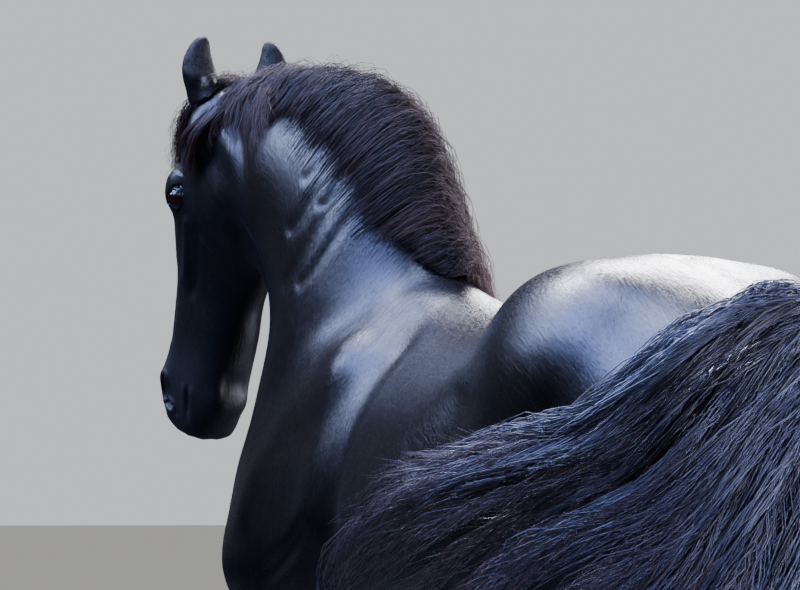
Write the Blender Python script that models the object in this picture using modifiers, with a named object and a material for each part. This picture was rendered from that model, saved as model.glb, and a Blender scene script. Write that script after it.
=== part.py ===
"""A life-size black stallion of a heavy riding breed, standing square with its neck
arched and turned to the left and its long tail swung out over the left thigh.

Frame: +Z up, the horse faces -Y and its left side is +X. The body is designed with the
withers over the origin; the last step moves everything so that the origin is on the
floor, under the middle of the whole model.
Metres throughout. Run with: blender --background --python part.py
"""

import math

import bmesh
import bpy
import numpy as np
from mathutils import Matrix, Vector

# ---------------------------------------------------------------- driving dimensions
LEFT, RIGHT = 1, -1
SIDES = {"left": LEFT, "right": RIGHT}

VOXEL = 0.011              # size of the cells that fuse the masses of flesh
FLESH_TRIANGLES = 3040     # what is left of the fused flesh once it is faceted
GAP = 0.0004               # clearance between neighbouring solids
HAIR_GAP = 0.0012          # and between the hair and the flesh under it
RING = 28                  # points round a lofted section

# the bend of the body: how far it has turned left at each distance ahead of the withers
TURN_AHEAD = (-0.60, -0.20, 0.10, 0.45)
TURN_DEG = (0.0, 4.0, 10.0, 17.0)

# ---------------------------------------------------------------- the trunk
# behind the withers, top, height of the greatest width, underside, half width,
# how square the upper half is, how square the lower half is (2 is an ellipse)
TRUNK = (
    (-0.485, 1.240, 1.150, 1.060, 0.070, 2.0, 2.0),
    (-0.460, 1.340, 1.150, 0.990, 0.150, 2.0, 2.0),
    (-0.400, 1.440, 1.140, 0.930, 0.215, 2.0, 2.1),
    (-0.300, 1.520, 1.150, 0.893, 0.252, 1.9, 2.2),
    (-0.150, 1.582, 1.170, 0.876, 0.266, 1.6, 2.3),
    (0.000, 1.602, 1.190, 0.868, 0.276, 1.45, 2.3),
    (0.120, 1.562, 1.190, 0.862, 0.294, 1.6, 2.2),
    (0.250, 1.524, 1.180, 0.858, 0.316, 1.9, 2.1),
    (0.400, 1.514, 1.170, 0.858, 0.332, 2.1, 2.1),
    (0.550, 1.561, 1.170, 0.872, 0.330, 2.2, 2.1),
    (0.680, 1.605, 1.200, 0.902, 0.312, 2.3, 2.1),
    (0.800, 1.603, 1.260, 0.945, 0.296, 2.3, 2.1),
    (0.900, 1.572, 1.290, 0.985, 0.282, 2.3, 2.1),
    (1.000, 1.532, 1.290, 1.010, 0.262, 2.2, 2.0),
    (1.080, 1.494, 1.290, 1.040, 0.228, 2.1, 2.0),
    (1.140, 1.460, 1.280, 1.080, 0.178, 2.0, 2.0),
    (1.175, 1.405, 1.270, 1.140, 0.118, 2.0, 2.0),
    (1.192, 1.330, 1.260, 1.190, 0.055, 2.0, 2.0),
)

# ---------------------------------------------------------------- the legs
# height, out from the midline, behind the withers, half width, half depth
FORE_LEG = (
    (1.180, 0.165, -0.230, 0.080, 0.150),
    (1.060, 0.172, -0.205, 0.088, 0.150),
    (0.960, 0.172, -0.185, 0.083, 0.133),
    (0.880, 0.167, -0.182, 0.072, 0.112),
    (0.780, 0.160, -0.190, 0.060, 0.090),
    (0.680, 0.155, -0.198, 0.050, 0.070),
    (0.600, 0.152, -0.205, 0.045, 0.058),
    (0.545, 0.150, -0.210, 0.048, 0.054),
    (0.495, 0.150, -0.214, 0.051, 0.054),
    (0.450, 0.150, -0.211, 0.045, 0.049),
    (0.405, 0.149, -0.206, 0.036, 0.045),
    (0.330, 0.148, -0.204, 0.032, 0.043),
    (0.260, 0.148, -0.203, 0.033, 0.045),
    (0.205, 0.148, -0.203, 0.039, 0.050),
    (0.160, 0.148, -0.219, 0.034, 0.042),
    (0.115, 0.148, -0.242, 0.036, 0.041),
    (0.072, 0.148, -0.262, 0.046, 0.053),
    (0.030, 0.148, -0.280, 0.048, 0.055),
)
HIND_LEG = (
    (1.240, 0.150, 0.915, 0.110, 0.245),
    (1.140, 0.165, 0.905, 0.112, 0.258),
    (1.040, 0.172, 0.888, 0.104, 0.252),
    (0.960, 0.170, 0.868, 0.091, 0.230),
    (0.880, 0.162, 0.882, 0.077, 0.182),
    (0.800, 0.153, 0.922, 0.061, 0.128),
    (0.730, 0.147, 0.968, 0.050, 0.098),
    (0.675, 0.143, 1.016, 0.044, 0.088),
    (0.625, 0.141, 1.040, 0.044, 0.075),
    (0.570, 0.140, 1.050, 0.045, 0.061),
    (0.510, 0.139, 1.056, 0.038, 0.051),
    (0.450, 0.138, 1.060, 0.034, 0.047),
    (0.350, 0.138, 1.064, 0.032, 0.045),
    (0.270, 0.138, 1.068, 0.034, 0.047),
    (0.212, 0.138, 1.068, 0.041, 0.053),
    (0.165, 0.138, 1.052, 0.035, 0.044),
    (0.118, 0.138, 1.028, 0.037, 0.043),
    (0.074, 0.138, 1.008, 0.046, 0.053),
    (0.030, 0.138, 0.990, 0.048, 0.055),
)
# how far each foot stands ahead of its place above, growing down the leg
STEP_AHEAD = {
    ("fore", "left"): 0.00,
    ("fore", "right"): 0.035,
    ("hind", "left"): -0.045,
    ("hind", "right"): 0.085,
}

HOOF_TOP = 0.092           # height of the coronet at the toe
HOOF_HEEL = 0.050          # and at the heel
HOOF_WIDTH = 0.138

# ---------------------------------------------------------------- muscles and bones
# name: centre (out, behind, up), half sizes (across, along, up), nose-up tilt in degrees
MASSES = {
    "shoulder_blade": ((0.158, -0.180, 1.270), (0.080, 0.280, 0.135), -47.0),
    "triceps": ((0.196, -0.110, 1.115), (0.080, 0.170, 0.135), 20.0),
    "upper_arm": ((0.172, -0.290, 1.090), (0.090, 0.155, 0.120), 15.0),
    "breast": ((0.088, -0.400, 1.125), (0.105, 0.100, 0.170), 0.0),
    "girth": ((0.120, 0.020, 1.020), (0.140, 0.220, 0.155), 0.0),
    "loin": ((0.090, 0.580, 1.447), (0.120, 0.250, 0.100), 0.0),
    "rump": ((0.136, 0.755, 1.386), (0.172, 0.272, 0.208), 10.0),
    "hip_point": ((0.206, 0.630, 1.430), (0.070, 0.110, 0.078), 15.0),
    "hamstrings": ((0.134, 1.005, 1.190), (0.118, 0.172, 0.290), -8.0),
    "thigh": ((0.184, 0.770, 1.140), (0.112, 0.170, 0.200), 0.0),
    "stifle": ((0.184, 0.680, 0.985), (0.066, 0.066, 0.090), 0.0),
    "elbow": ((0.176, -0.080, 0.955), (0.045, 0.045, 0.060), 0.0),
    "point_of_hock": ((0.143, 1.086, 0.672), (0.026, 0.030, 0.060), -6.0),
}

# the masses that move with a leg that steps
ON_LEG = {"point_of_hock": "hind", "stifle": "hind", "elbow": "fore"}

# ---------------------------------------------------------------- the neck
# crest (behind, up), underside (behind, up), half width, where the width is greatest
# as a share from the underside to the crest, turn to the left in degrees
NECK = (
    ((0.160, 1.470), (-0.310, 0.970), 0.190, 0.42, 8.0),
    ((0.045, 1.570), (-0.425, 1.085), 0.208, 0.42, 10.5),
    ((-0.040, 1.655), (-0.482, 1.215), 0.196, 0.42, 13.0),
    ((-0.086, 1.750), (-0.468, 1.335), 0.168, 0.43, 14.5),
    ((-0.138, 1.846), (-0.452, 1.440), 0.144, 0.45, 16.5),
    ((-0.220, 1.918), (-0.470, 1.530), 0.124, 0.47, 17.5),
    ((-0.330, 1.954), (-0.520, 1.615), 0.108, 0.50, 17.5),
    ((-0.450, 1.964), (-0.568, 1.690), 0.096, 0.52, 17.0),
    ((-0.556, 1.966), (-0.620, 1.750), 0.084, 0.54, 16.0),
    ((-0.626, 1.957), (-0.660, 1.810), 0.060, 0.55, 15.0),
)

# ---------------------------------------------------------------- the head
HEAD_POLL = (-0.604, 1.962)      # behind, up, in the plane of the neck before it turns
HEAD_TILT_DEG = 15.0             # how far the axis of the head swings ahead of plumb
HEAD_TURN_DEG = 14.0             # its turn to the left
# along the head from the poll, front line, middle, jaw line, half width, squareness
HEAD = (
    (-0.022, 0.030, -0.010, -0.055, 0.034, 2.0, 2.0),
    (0.000, 0.056, 0.000, -0.085, 0.058, 2.1, 2.0),
    (0.050, 0.080, 0.010, -0.122, 0.074, 2.2, 1.9),
    (0.100, 0.096, 0.018, -0.152, 0.083, 2.3, 1.8),
    (0.150, 0.104, 0.020, -0.174, 0.088, 2.3, 1.8),
    (0.200, 0.106, 0.016, -0.184, 0.089, 2.3, 1.8),
    (0.260, 0.104, 0.008, -0.178, 0.084, 2.2, 1.9),
    (0.320, 0.098, -0.002, -0.156, 0.073, 2.1, 2.0),
    (0.380, 0.090, -0.012, -0.134, 0.066, 2.0, 2.2),
    (0.440, 0.082, -0.018, -0.130, 0.066, 2.1, 2.4),
    (0.500, 0.075, -0.020, -0.122, 0.065, 2.2, 2.5),
    (0.550, 0.068, -0.022, -0.117, 0.064, 2.3, 2.5),
    (0.590, 0.050, -0.026, -0.108, 0.061, 2.5, 2.6),
    (0.620, 0.040, -0.032, -0.100, 0.058, 2.6, 2.6),
    (0.642, 0.028, -0.036, -0.090, 0.053, 2.7, 2.7),
    (0.654, 0.010, -0.038, -0.078, 0.043, 2.5, 2.5),
)
# name: (along, front, out), half sizes (along, front, out)
HEAD_MASSES = {
    "brow": ((0.198, 0.064, 0.070), (0.048, 0.032, 0.030)),
    "cheek": ((0.176, -0.078, 0.052), (0.104, 0.094, 0.038)),
    "face_crest": ((0.280, 0.006, 0.064), (0.100, 0.014, 0.017)),
    "nostril_wing": ((0.548, 0.026, 0.046), (0.046, 0.030, 0.020)),
    "upper_lip": ((0.608, 0.006, 0.018), (0.044, 0.042, 0.042)),
    "chin": ((0.566, -0.086, 0.012), (0.048, 0.038, 0.038)),
}
EYE_CENTRE = (0.212, 0.044, 0.0795)
EYE_RADIUS = 0.0215

EAR_ROOT = (0.016, 0.030, 0.071)
EAR_LENGTH = 0.115
EAR_WIDTH = 0.033
# name: lean outwards, lean forwards, turn of the opening to the outside, in degrees
EAR_POSE = {"left": (4.0, 19.0, 20.0), "right": (10.0, 12.0, -50.0)}
EAR_WALL = 0.005
# share of the length, half width, depth of the cup, curve of the tip towards the other ear
EAR = (
    (-0.55, 0.60, 0.022, 0.038),
    (-0.30, 1.08, 0.037, 0.021),
    (-0.08, 1.18, 0.040, 0.010),
    (0.14, 1.06, 0.033, 0.004),
    (0.32, 1.02, 0.028, -0.002),
    (0.55, 0.90, 0.021, -0.005),
    (0.78, 0.68, 0.014, -0.001),
    (0.98, 0.28, 0.007, 0.008),
)

# ---------------------------------------------------------------- where the flesh is parted
# corners in head coordinates (along, front) of the prism that holds the head
HEAD_REGION = ((-0.140, 0.046), (0.245, -0.196), (0.80, -0.245), (0.80, 0.32), (-0.140, 0.32))
# corners (behind, up), in the straight horse, of the prism that holds the neck
NECK_REGION = ((0.160, 1.780), (-0.560, 1.130), (-1.40, 1.13), (-1.40, 2.60), (0.160, 2.60))
BARREL_FROM, BARREL_TO = 0.080, 0.570     # behind the withers
FORE_LEG_REGION = ((-0.62, -0.10), (0.055, -0.10), (0.055, 0.915), (-0.62, 0.945))
HIND_LEG_REGION = ((0.48, -0.10), (1.50, -0.10), (1.50, 1.135), (0.48, 0.900))
LEG_REGION_OUT = {"fore": (0.078, 0.62), "hind": (0.052, 0.62)}

# ---------------------------------------------------------------- the hooves and feather
# toe and heel on the floor, toe and heel at the coronet, all behind the withers
HOOF = {
    "fore": (-0.372, -0.224, -0.314, -0.206),
    "hind": (0.900, 1.046, 0.956, 1.064),
}
HOOF_MIDDLE = {"fore": 0.148, "hind": 0.138}   # out from the midline
# height, clearance from the leg at the front, at the sides, at the back
FEATHER = (
    (0.330, -0.016, -0.010, 0.002),
    (0.255, -0.012, -0.002, 0.024),
    (0.195, -0.006, 0.008, 0.038),
    (0.130, 0.008, 0.017, 0.048),
    (0.070, 0.016, 0.024, 0.038),
    (0.022, 0.014, 0.020, 0.022),
)

# ---------------------------------------------------------------- the mane and forelock
# place along the neck (0 base, 9 poll), reach down the left, reach down the right as
# shares of a half turn round the section, stand of the hair above the crest, thickness
MANE = (
    (1.25, 0.02, 0.20, 0.010, 0.016),
    (1.60, 0.06, 0.34, 0.020, 0.020),
    (2.20, 0.10, 0.50, 0.026, 0.024),
    (3.00, 0.19, 0.58, 0.027, 0.027),
    (4.00, 0.24, 0.64, 0.024, 0.029),
    (5.00, 0.26, 0.68, 0.018, 0.030),
    (6.00, 0.26, 0.72, 0.014, 0.030),
    (7.00, 0.27, 0.74, 0.012, 0.029),
    (7.80, 0.32, 0.72, 0.012, 0.027),
    (8.30, 0.38, 0.62, 0.012, 0.022),
)
# along the head, front of the forehead, out, half width, half thickness
FORELOCK = (
    (-0.030, 0.046, 0.000, 0.020, 0.014),
    (0.000, 0.074, 0.003, 0.024, 0.018),
    (0.040, 0.098, 0.010, 0.030, 0.020),
    (0.085, 0.112, 0.016, 0.032, 0.017),
    (0.130, 0.118, 0.020, 0.028, 0.014),
    (0.175, 0.120, 0.022, 0.018, 0.010),
    (0.205, 0.119, 0.024, 0.007, 0.005),
)

# ---------------------------------------------------------------- the tail
# reach to the left as the hair swings round the thigh: reach, out, behind the withers
TAIL_PLAN = (
    (-0.06, -0.060, 1.215),
    (0.00, 0.000, 1.225),
    (0.06, 0.075, 1.250),
    (0.13, 0.170, 1.265),
    (0.22, 0.275, 1.245),
    (0.32, 0.365, 1.165),
    (0.44, 0.440, 1.050),
    (0.54, 0.500, 0.930),
    (0.63, 0.545, 0.800),
    (0.72, 0.565, 0.660),
    (0.80, 0.570, 0.540),
)
# the highest strand and the one that hangs, each as (reach, height) from root to tip
TAIL_TOP = (
    (0.00, 1.524), (0.05, 1.530), (0.12, 1.522), (0.21, 1.460), (0.32, 1.352),
    (0.44, 1.322), (0.54, 1.300), (0.63, 1.258), (0.71, 1.190), (0.765, 1.120),
)
TAIL_HANGING = (
    (-0.01, 1.420), (-0.03, 1.340), (-0.045, 1.240), (-0.05, 1.110), (-0.05, 0.970),
    (-0.045, 0.820), (-0.035, 0.680), (-0.020, 0.550), (-0.005, 0.430), (0.010, 0.330),
)
TAIL_THICK = (0.050, 0.058, 0.056, 0.050, 0.045, 0.040, 0.035, 0.029, 0.022, 0.012)
TAIL_ROOT = ((0.010, 1.065, 1.478), (0.000, 1.150, 1.470))   # where the tail leaves the croup

# ---------------------------------------------------------------- finishes
COLOURS = {
    "coat": (0.012, 0.011, 0.012, 1.0),
    "hair": (0.016, 0.012, 0.012, 1.0),
    "horn": (0.030, 0.027, 0.026, 1.0),
    "eye": (0.018, 0.010, 0.007, 1.0),
}
ROUGHNESS = {"coat": 0.35, "hair": 0.45, "horn": 0.5, "eye": 0.05}


def smooth(knots, values, at):
    """Values at `at` on a smooth curve through the knots (cubic Hermite, as numpy)."""
    knots = np.asarray(knots, float)
    values = np.asarray(values, float).reshape(len(knots), -1)
    at = np.clip(np.asarray(at, float), knots[0], knots[-1])
    slope = np.gradient(values, knots, axis=0)
    cell = np.clip(np.searchsorted(knots, at, side="right") - 1, 0, len(knots) - 2)
    width = knots[cell + 1] - knots[cell]
    t = ((at - knots[cell]) / width)[:, None]
    width = width[:, None]
    return (
        (2 * t**3 - 3 * t**2 + 1) * values[cell]
        + (t**3 - 2 * t**2 + t) * width * slope[cell]
        + (3 * t**2 - 2 * t**3) * values[cell + 1]
        + (t**3 - t**2) * width * slope[cell + 1]
    )


def turned(points, turn):
    """Points turned to the left by an angle each (radians), about the upright axis."""
    x, y, z = points[..., 0], points[..., 1], points[..., 2]
    c, s = np.cos(turn), np.sin(turn)
    return np.stack([x * c - y * s, x * s + y * c, z], axis=-1)


def bend_table():
    """The bend of the back as a table: distance ahead of the withers, heading, and place."""
    ahead = np.linspace(-1.4, 0.75, 216)
    heading = np.radians(smooth(TURN_AHEAD, TURN_DEG, ahead)[:, 0])
    step = np.gradient(ahead)
    left = np.cumsum(np.sin(heading) * step)
    front = np.cumsum(np.cos(heading) * step)
    zero = int(np.argmin(np.abs(ahead)))
    return ahead, heading, left - left[zero], front - front[zero]


def bent(points):
    """Points of the straight horse carried along the bend of its back."""
    ahead, heading, left, front = bend_table()
    at = -points[..., 1]
    turn = np.interp(at, ahead, heading)
    x = np.interp(at, ahead, left) + points[..., 0] * np.cos(turn)
    y = -np.interp(at, ahead, front) + points[..., 0] * np.sin(turn)
    return np.stack([x, y, points[..., 2]], axis=-1)


def section(width, up, down, square_up, square_down, count=RING):
    """A closed outline (across, up): a superellipse with its own upper and lower half."""
    t = np.linspace(0, 2 * math.pi, count, endpoint=False)
    c, s = np.cos(t), np.sin(t)
    power = np.where(s >= 0, square_up, square_down)
    across = width * np.sign(c) * np.abs(c) ** (2 / power)
    rise = np.where(s >= 0, up, down) * np.sign(s) * np.abs(s) ** (2 / power)
    return across, rise


def new_object(name, mesh):
    """Puts a mesh in the scene."""
    obj = bpy.data.objects.new(name, mesh)
    bpy.context.scene.collection.objects.link(obj)
    return obj


def loft(name, rings):
    """A closed tube through rings of points, an array of rings x points x 3."""
    rings = np.asarray(rings, float)
    count, around = rings.shape[:2]
    i, j = np.meshgrid(np.arange(count - 1), np.arange(around), indexing="ij")
    k = (j + 1) % around
    quads = np.stack(
        [i * around + j, i * around + k, (i + 1) * around + k, (i + 1) * around + j], -1
    ).reshape(-1, 4)
    faces = [tuple(map(int, q)) for q in quads]
    faces.append(tuple(range(around))[::-1])
    faces.append(tuple(range((count - 1) * around, count * around)))
    mesh = bpy.data.meshes.new(name)
    mesh.from_pydata([tuple(p) for p in rings.reshape(-1, 3)], [], faces)
    outwards(mesh)
    return new_object(name, mesh)


def outwards(mesh):
    """Flat triangles facing out: a bent quad would be split one way here and another there."""
    bm = bmesh.new()
    bm.from_mesh(mesh)
    bmesh.ops.remove_doubles(bm, verts=bm.verts, dist=1e-6)
    bmesh.ops.triangulate(bm, faces=bm.faces)
    bmesh.ops.recalc_face_normals(bm, faces=bm.faces)
    bm.to_mesh(mesh)
    bm.free()


def ball(name, centre, half_sizes, turn=None, around=24):
    """An ellipsoid, from a UV sphere of radius 1."""
    mesh = bpy.data.meshes.new(name)
    bm = bmesh.new()
    bmesh.ops.create_uvsphere(bm, u_segments=around, v_segments=around * 5 // 8, radius=1.0)
    bmesh.ops.scale(bm, vec=half_sizes, verts=bm.verts)
    if turn is not None:
        bmesh.ops.rotate(bm, matrix=turn, verts=bm.verts)
    bmesh.ops.translate(bm, vec=centre, verts=bm.verts)
    bm.to_mesh(mesh)
    bm.free()
    return new_object(name, mesh)


def points_of(mesh):
    """The points of a mesh, as rows."""
    flat = np.empty(len(mesh.vertices) * 3)
    mesh.vertices.foreach_get("co", flat)
    return flat.reshape(-1, 3)


def set_points(mesh, points):
    """Moves the points of a mesh."""
    mesh.vertices.foreach_set("co", np.ascontiguousarray(points).ravel())
    mesh.update()


# ---------------------------------------------------------------- the masses of flesh
def trunk_mass():
    """The trunk, lofted along the bend of the back."""
    table = np.array(TRUNK)
    behind = np.linspace(table[0, 0], table[-1, 0], 64)
    rows = smooth(table[:, 0], table[:, 1:], behind)
    rings = []
    for y, (top, middle, under, width, square_up, square_down) in zip(behind, rows):
        across, rise = section(width, top - middle, middle - under, square_up, square_down)
        rings.append(np.stack([across, np.full(RING, y), middle + rise], -1))
    return loft("trunk_mass", bent(np.array(rings)))


def leg_mass(name, table, side, step):
    """One leg from its root to the coronet, with its foot `step` ahead of square."""
    table = np.array(table)[::-1]
    heights = np.linspace(table[0, 0], table[-1, 0], 60)
    rows = smooth(table[:, 0], table[:, 1:], heights)
    rings = []
    top = heights[-1]
    for z, (out, behind, width, depth) in zip(heights, rows):
        across, along = section(width, depth, depth, 2.1, 2.1)
        ahead = step * (1 - z / top) ** 1.3
        rings.append(
            np.stack([side * out + across, behind - ahead + along, np.full(RING, z)], -1)
        )
    return loft(name, bent(np.array(rings)))


def stepped(kind, side_name, height):
    """How far ahead a leg stands at one height, from its step."""
    top = (FORE_LEG if kind == "fore" else HIND_LEG)[0][0]
    return STEP_AHEAD[kind, side_name] * max(0.0, 1 - height / top) ** 1.3


def muscle(name, side_name):
    """One ellipsoid of muscle, carried by the bend and by the step of its leg."""
    (out, behind, up), half_sizes, tilt = MASSES[name]
    side = SIDES[side_name]
    if name in ON_LEG:
        behind -= stepped(ON_LEG[name], side_name, up)
    turn = Matrix.Rotation(math.radians(-tilt), 3, "X")
    obj = ball(f"{name}_{side}", (side * out, behind, up), half_sizes, turn)
    set_points(obj.data, bent(points_of(obj.data)))
    return obj


def neck_course():
    """The neck as 60 sections, and where the middle of each stands once the neck has turned.

    Returns rows like those of NECK laid flat, the places of the middles behind the withers
    before the turn, and their x and y after it.
    """
    table = np.array([np.hstack(row) for row in NECK])
    rows = smooth(np.arange(len(table)), table, np.linspace(0, len(table) - 1, 60))
    middle_y = (rows[:, 0] + rows[:, 2]) / 2
    turn, step = np.radians(rows[:, 6]), -np.gradient(middle_y)
    start = bent(np.array([[0.0, middle_y[0], 0.0]]))[0]
    x = start[0] + np.cumsum(np.sin(turn) * step)
    y = start[1] - np.cumsum(np.cos(turn) * step)
    return rows, middle_y, x, y


def neck_mass():
    """The neck, lofted through sections that each turn to the left about their middle."""
    rows, middle_y, x, y = neck_course()
    rings = []
    for i, (crest_y, crest_z, under_y, under_z, width, waist, turn) in enumerate(rows):
        chord = np.array([crest_y - under_y, crest_z - under_z])
        across, rise = section(width, 1 - waist, waist, 1.75, 2.0)
        along_chord = np.outer(waist + rise, chord) + np.array([under_y, under_z])
        local = np.stack([across, along_chord[:, 0] - middle_y[i], along_chord[:, 1]], -1)
        rings.append(turned(local, math.radians(turn)) + np.array([x[i], y[i], 0.0]))
    return loft("neck_mass", rings)


def head_frame():
    """The matrix from head coordinates (along, front, out) to the model, and its poll."""
    tilt, turn = math.radians(HEAD_TILT_DEG), math.radians(HEAD_TURN_DEG)
    along = Vector((0, -math.sin(tilt), -math.cos(tilt)))
    front = Vector((0, -math.cos(tilt), math.sin(tilt)))
    out = Vector((1, 0, 0))
    axes = Matrix((along, front, out)).transposed()
    swing = Matrix.Rotation(turn, 3, "Z")
    return swing @ axes


def head_place():
    """Where the poll is, once the neck has turned."""
    rows, middle_y, x, y = neck_course()
    back = HEAD_POLL[0] - middle_y[-1]
    last = math.radians(rows[-1, 6])
    return Vector((x[-1] - math.sin(last) * back, y[-1] + math.cos(last) * back, HEAD_POLL[1]))


def to_head(points):
    """Head coordinates (along, front, out) as model coordinates."""
    axes = np.array(head_frame())
    return points @ axes.T + np.array(head_place())


def head_mass():
    """The head without its bony points, from the poll to the lips."""
    table = np.array(HEAD)
    along = np.linspace(table[0, 0], table[-1, 0], 60)
    rows = smooth(table[:, 0], table[:, 1:], along)
    rings = []
    for u, (front, middle, jaw, width, square_front, square_jaw) in zip(along, rows):
        across, rise = section(width, front - middle, middle - jaw, square_front, square_jaw)
        rings.append(np.stack([np.full(RING, u), middle + rise, across], -1))
    return loft("head_mass", to_head(np.array(rings)))


def head_ball(name, side):
    """One ellipsoid of bone or lip on the head."""
    (u, v, out), half_sizes = HEAD_MASSES[name]
    obj = ball(f"{name}_{side}", (0, 0, 0), half_sizes)
    set_points(obj.data, to_head(points_of(obj.data) + np.array([u, v, side * out])))
    return obj


def clear_scene():
    """Takes away the objects that Blender starts with."""
    for obj in list(bpy.data.objects):
        bpy.data.objects.remove(obj)


def fused(objects, voxel):
    """One closed mesh round all these masses."""
    bpy.ops.object.select_all(action="DESELECT")
    for obj in objects:
        obj.select_set(True)
    bpy.context.view_layer.objects.active = objects[0]
    bpy.ops.object.join()
    whole = bpy.context.view_layer.objects.active
    remesh = whole.modifiers.new("fuse", "REMESH")
    remesh.mode = "VOXEL"
    remesh.voxel_size = voxel
    graph = bpy.context.evaluated_depsgraph_get()
    mesh = bpy.data.meshes.new_from_object(whole.evaluated_get(graph))
    bpy.data.objects.remove(whole)
    return mesh


def flesh_masses():
    """All that fuses into the flesh."""
    parts = [trunk_mass(), neck_mass(), head_mass()]
    for side_name, side in SIDES.items():
        parts.append(leg_mass("fore", FORE_LEG, side, STEP_AHEAD["fore", side_name]))
        parts.append(leg_mass("hind", HIND_LEG, side, STEP_AHEAD["hind", side_name]))
        parts += [muscle(name, side_name) for name in MASSES]
        parts += [head_ball(name, side) for name in HEAD_MASSES]
    return parts


def neighbours(mesh):
    """The two ends of each edge, as rows."""
    edges = np.empty(len(mesh.edges) * 2, np.int64)
    mesh.edges.foreach_get("vertices", edges)
    return edges.reshape(-1, 2)


def relaxed(points, edges, strength, rounds):
    """Points eased towards the mean of their neighbours, each by its own strength."""
    a, b = np.concatenate([edges[:, 0], edges[:, 1]]), np.concatenate([edges[:, 1], edges[:, 0]])
    degree = np.bincount(a, minlength=len(points))[:, None]
    for _ in range(rounds):
        mean = np.stack(
            [np.bincount(a, weights=points[b, k], minlength=len(points)) for k in range(3)], -1
        ) / degree
        points = points + strength[:, None] * (mean - points)
    return points


def softness(points):
    """How much the fused flesh is eased at each point: fully on the body, little on the
    lower legs and the head, whose bones lie under the skin."""
    along, _, out = to_head_space(points).T
    y, z = points[:, 1], points[:, 2]
    off_legs = np.clip((z - 0.72) / 0.25, 0.0, 1.0)
    from_poll = np.linalg.norm(points - np.array(head_place()), axis=1)
    in_head = (from_poll < 0.80) & (y < -0.50) & (z > 1.2) & (np.abs(out) < 0.14)
    bony = np.clip((along + 0.02) / 0.08, 0.0, 1.0) * in_head
    return np.maximum(0.06, off_legs * (1 - 0.93 * bony))


def to_head_space(points):
    """Model coordinates as head coordinates (along, front, out)."""
    return (points - np.array(head_place())) @ np.array(head_frame())


# ---------------------------------------------------------------- cutting and fitting
def collection(name):
    """The collection of that name, made on first use."""
    found = bpy.data.collections.get(name)
    if found is None:
        found = bpy.data.collections.new(name)
        bpy.context.scene.collection.children.link(found)
    return found


def into(obj, name):
    """Moves an object into a collection."""
    for old in list(obj.users_collection):
        old.objects.unlink(obj)
    collection(name).objects.link(obj)
    return obj


def as_cutter(obj):
    """Sets an object aside as a cutter for the booleans."""
    obj.hide_render = True
    obj.display_type = "WIRE"
    return into(obj, "cutters")


def grown_polygon(corners, grow):
    """A convex polygon, given clockwise or not, with each side moved out by `grow`."""
    corners = np.array(corners, float)
    if np.sum(corners[:, 0] * np.roll(corners[:, 1], -1) - corners[:, 1] * np.roll(corners[:, 0], -1)) < 0:
        corners = corners[::-1]
    side = np.roll(corners, -1, axis=0) - corners
    normal = np.stack([side[:, 1], -side[:, 0]], -1)
    normal /= np.linalg.norm(normal, axis=1)[:, None]
    reach = np.sum(normal * corners, axis=1) + grow
    found = []
    for k in range(len(corners)):
        pair = np.stack([normal[k - 1], normal[k]])
        found.append(np.linalg.solve(pair, np.array([reach[k - 1], reach[k]])))
    return np.array(found)


def prism(name, corners, low, high, place, grow=0.0):
    """A cutter: a convex polygon in the (first, second) plane, from `low` to `high` across."""
    outline = grown_polygon(corners, grow)
    rings = []
    for across in (low - grow, high + grow):
        flat = np.stack([np.full(len(outline), across), outline[:, 0], outline[:, 1]], -1)
        rings.append(place(flat))
    return as_cutter(loft(name, rings))


def place_on_head(points):
    """(out, along, front) to the model."""
    return to_head(np.stack([points[:, 1], points[:, 2], points[:, 0]], -1))


def place_on_neck(points):
    """(out, behind, up), turned by the heading at the base of the neck."""
    heading = math.radians(13.0)
    base = bent(np.array([[0.0, -0.10, 0.0]]))[0]
    moved = turned(points - np.array([0.0, -0.10, 0.0]), heading)
    return moved + np.array([base[0], base[1], 0.0])


def region(kind, grow, side=LEFT):
    """A fresh cutter for one region of the flesh, its faces moved out by `grow`."""
    if kind == "head":
        return prism("cut_head", HEAD_REGION, -0.30, 0.30, place_on_head, grow)
    if kind == "neck":
        return prism("cut_neck", NECK_REGION, -0.60, 0.60, place_on_neck, grow)
    low, high = LEG_REGION_OUT[kind]
    corners = FORE_LEG_REGION if kind == "fore" else HIND_LEG_REGION
    if side == RIGHT:
        low, high = -high, -low
    return prism(f"cut_{kind}_leg", corners, low, high, bent, grow)


def slab(start, end, grow):
    """A cutter for the length of trunk between two places behind the withers."""
    corners = ((start, 0.3), (end, 0.3), (end, 2.9), (start, 2.9))
    return prism("cut_trunk", corners, -0.9, 0.9, bent, grow)


def largest_island(mesh):
    """Drops every loose piece but the biggest one."""
    bm = bmesh.new()
    bm.from_mesh(mesh)
    left = set(bm.verts)
    islands = []
    while left:
        todo = [left.pop()]
        island = set(todo)
        while todo:
            for edge in todo.pop().link_edges:
                for vert in edge.verts:
                    if vert in left:
                        left.discard(vert)
                        island.add(vert)
                        todo.append(vert)
        islands.append(island)
    keep = max(islands, key=len)
    spare = [vert for vert in bm.verts if vert not in keep]
    bmesh.ops.delete(bm, geom=spare, context="VERTS")
    bmesh.ops.triangulate(bm, faces=bm.faces)
    bm.to_mesh(mesh)
    bm.free()


def carved(name, base, steps):
    """The base mesh after (operation, cutter) steps, as one closed node."""
    obj = new_object(name, base.copy())
    for k, (operation, cutter) in enumerate(steps):
        cut = obj.modifiers.new(f"{operation.lower()}_{k}", "BOOLEAN")
        cut.operation = operation
        cut.solver = "EXACT"
        cut.object = cutter
    graph = bpy.context.evaluated_depsgraph_get()
    mesh = bpy.data.meshes.new_from_object(obj.evaluated_get(graph))
    bpy.data.objects.remove(obj)
    largest_island(mesh)
    mesh.name = name
    return into(new_object(name, mesh), "horse")


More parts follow.
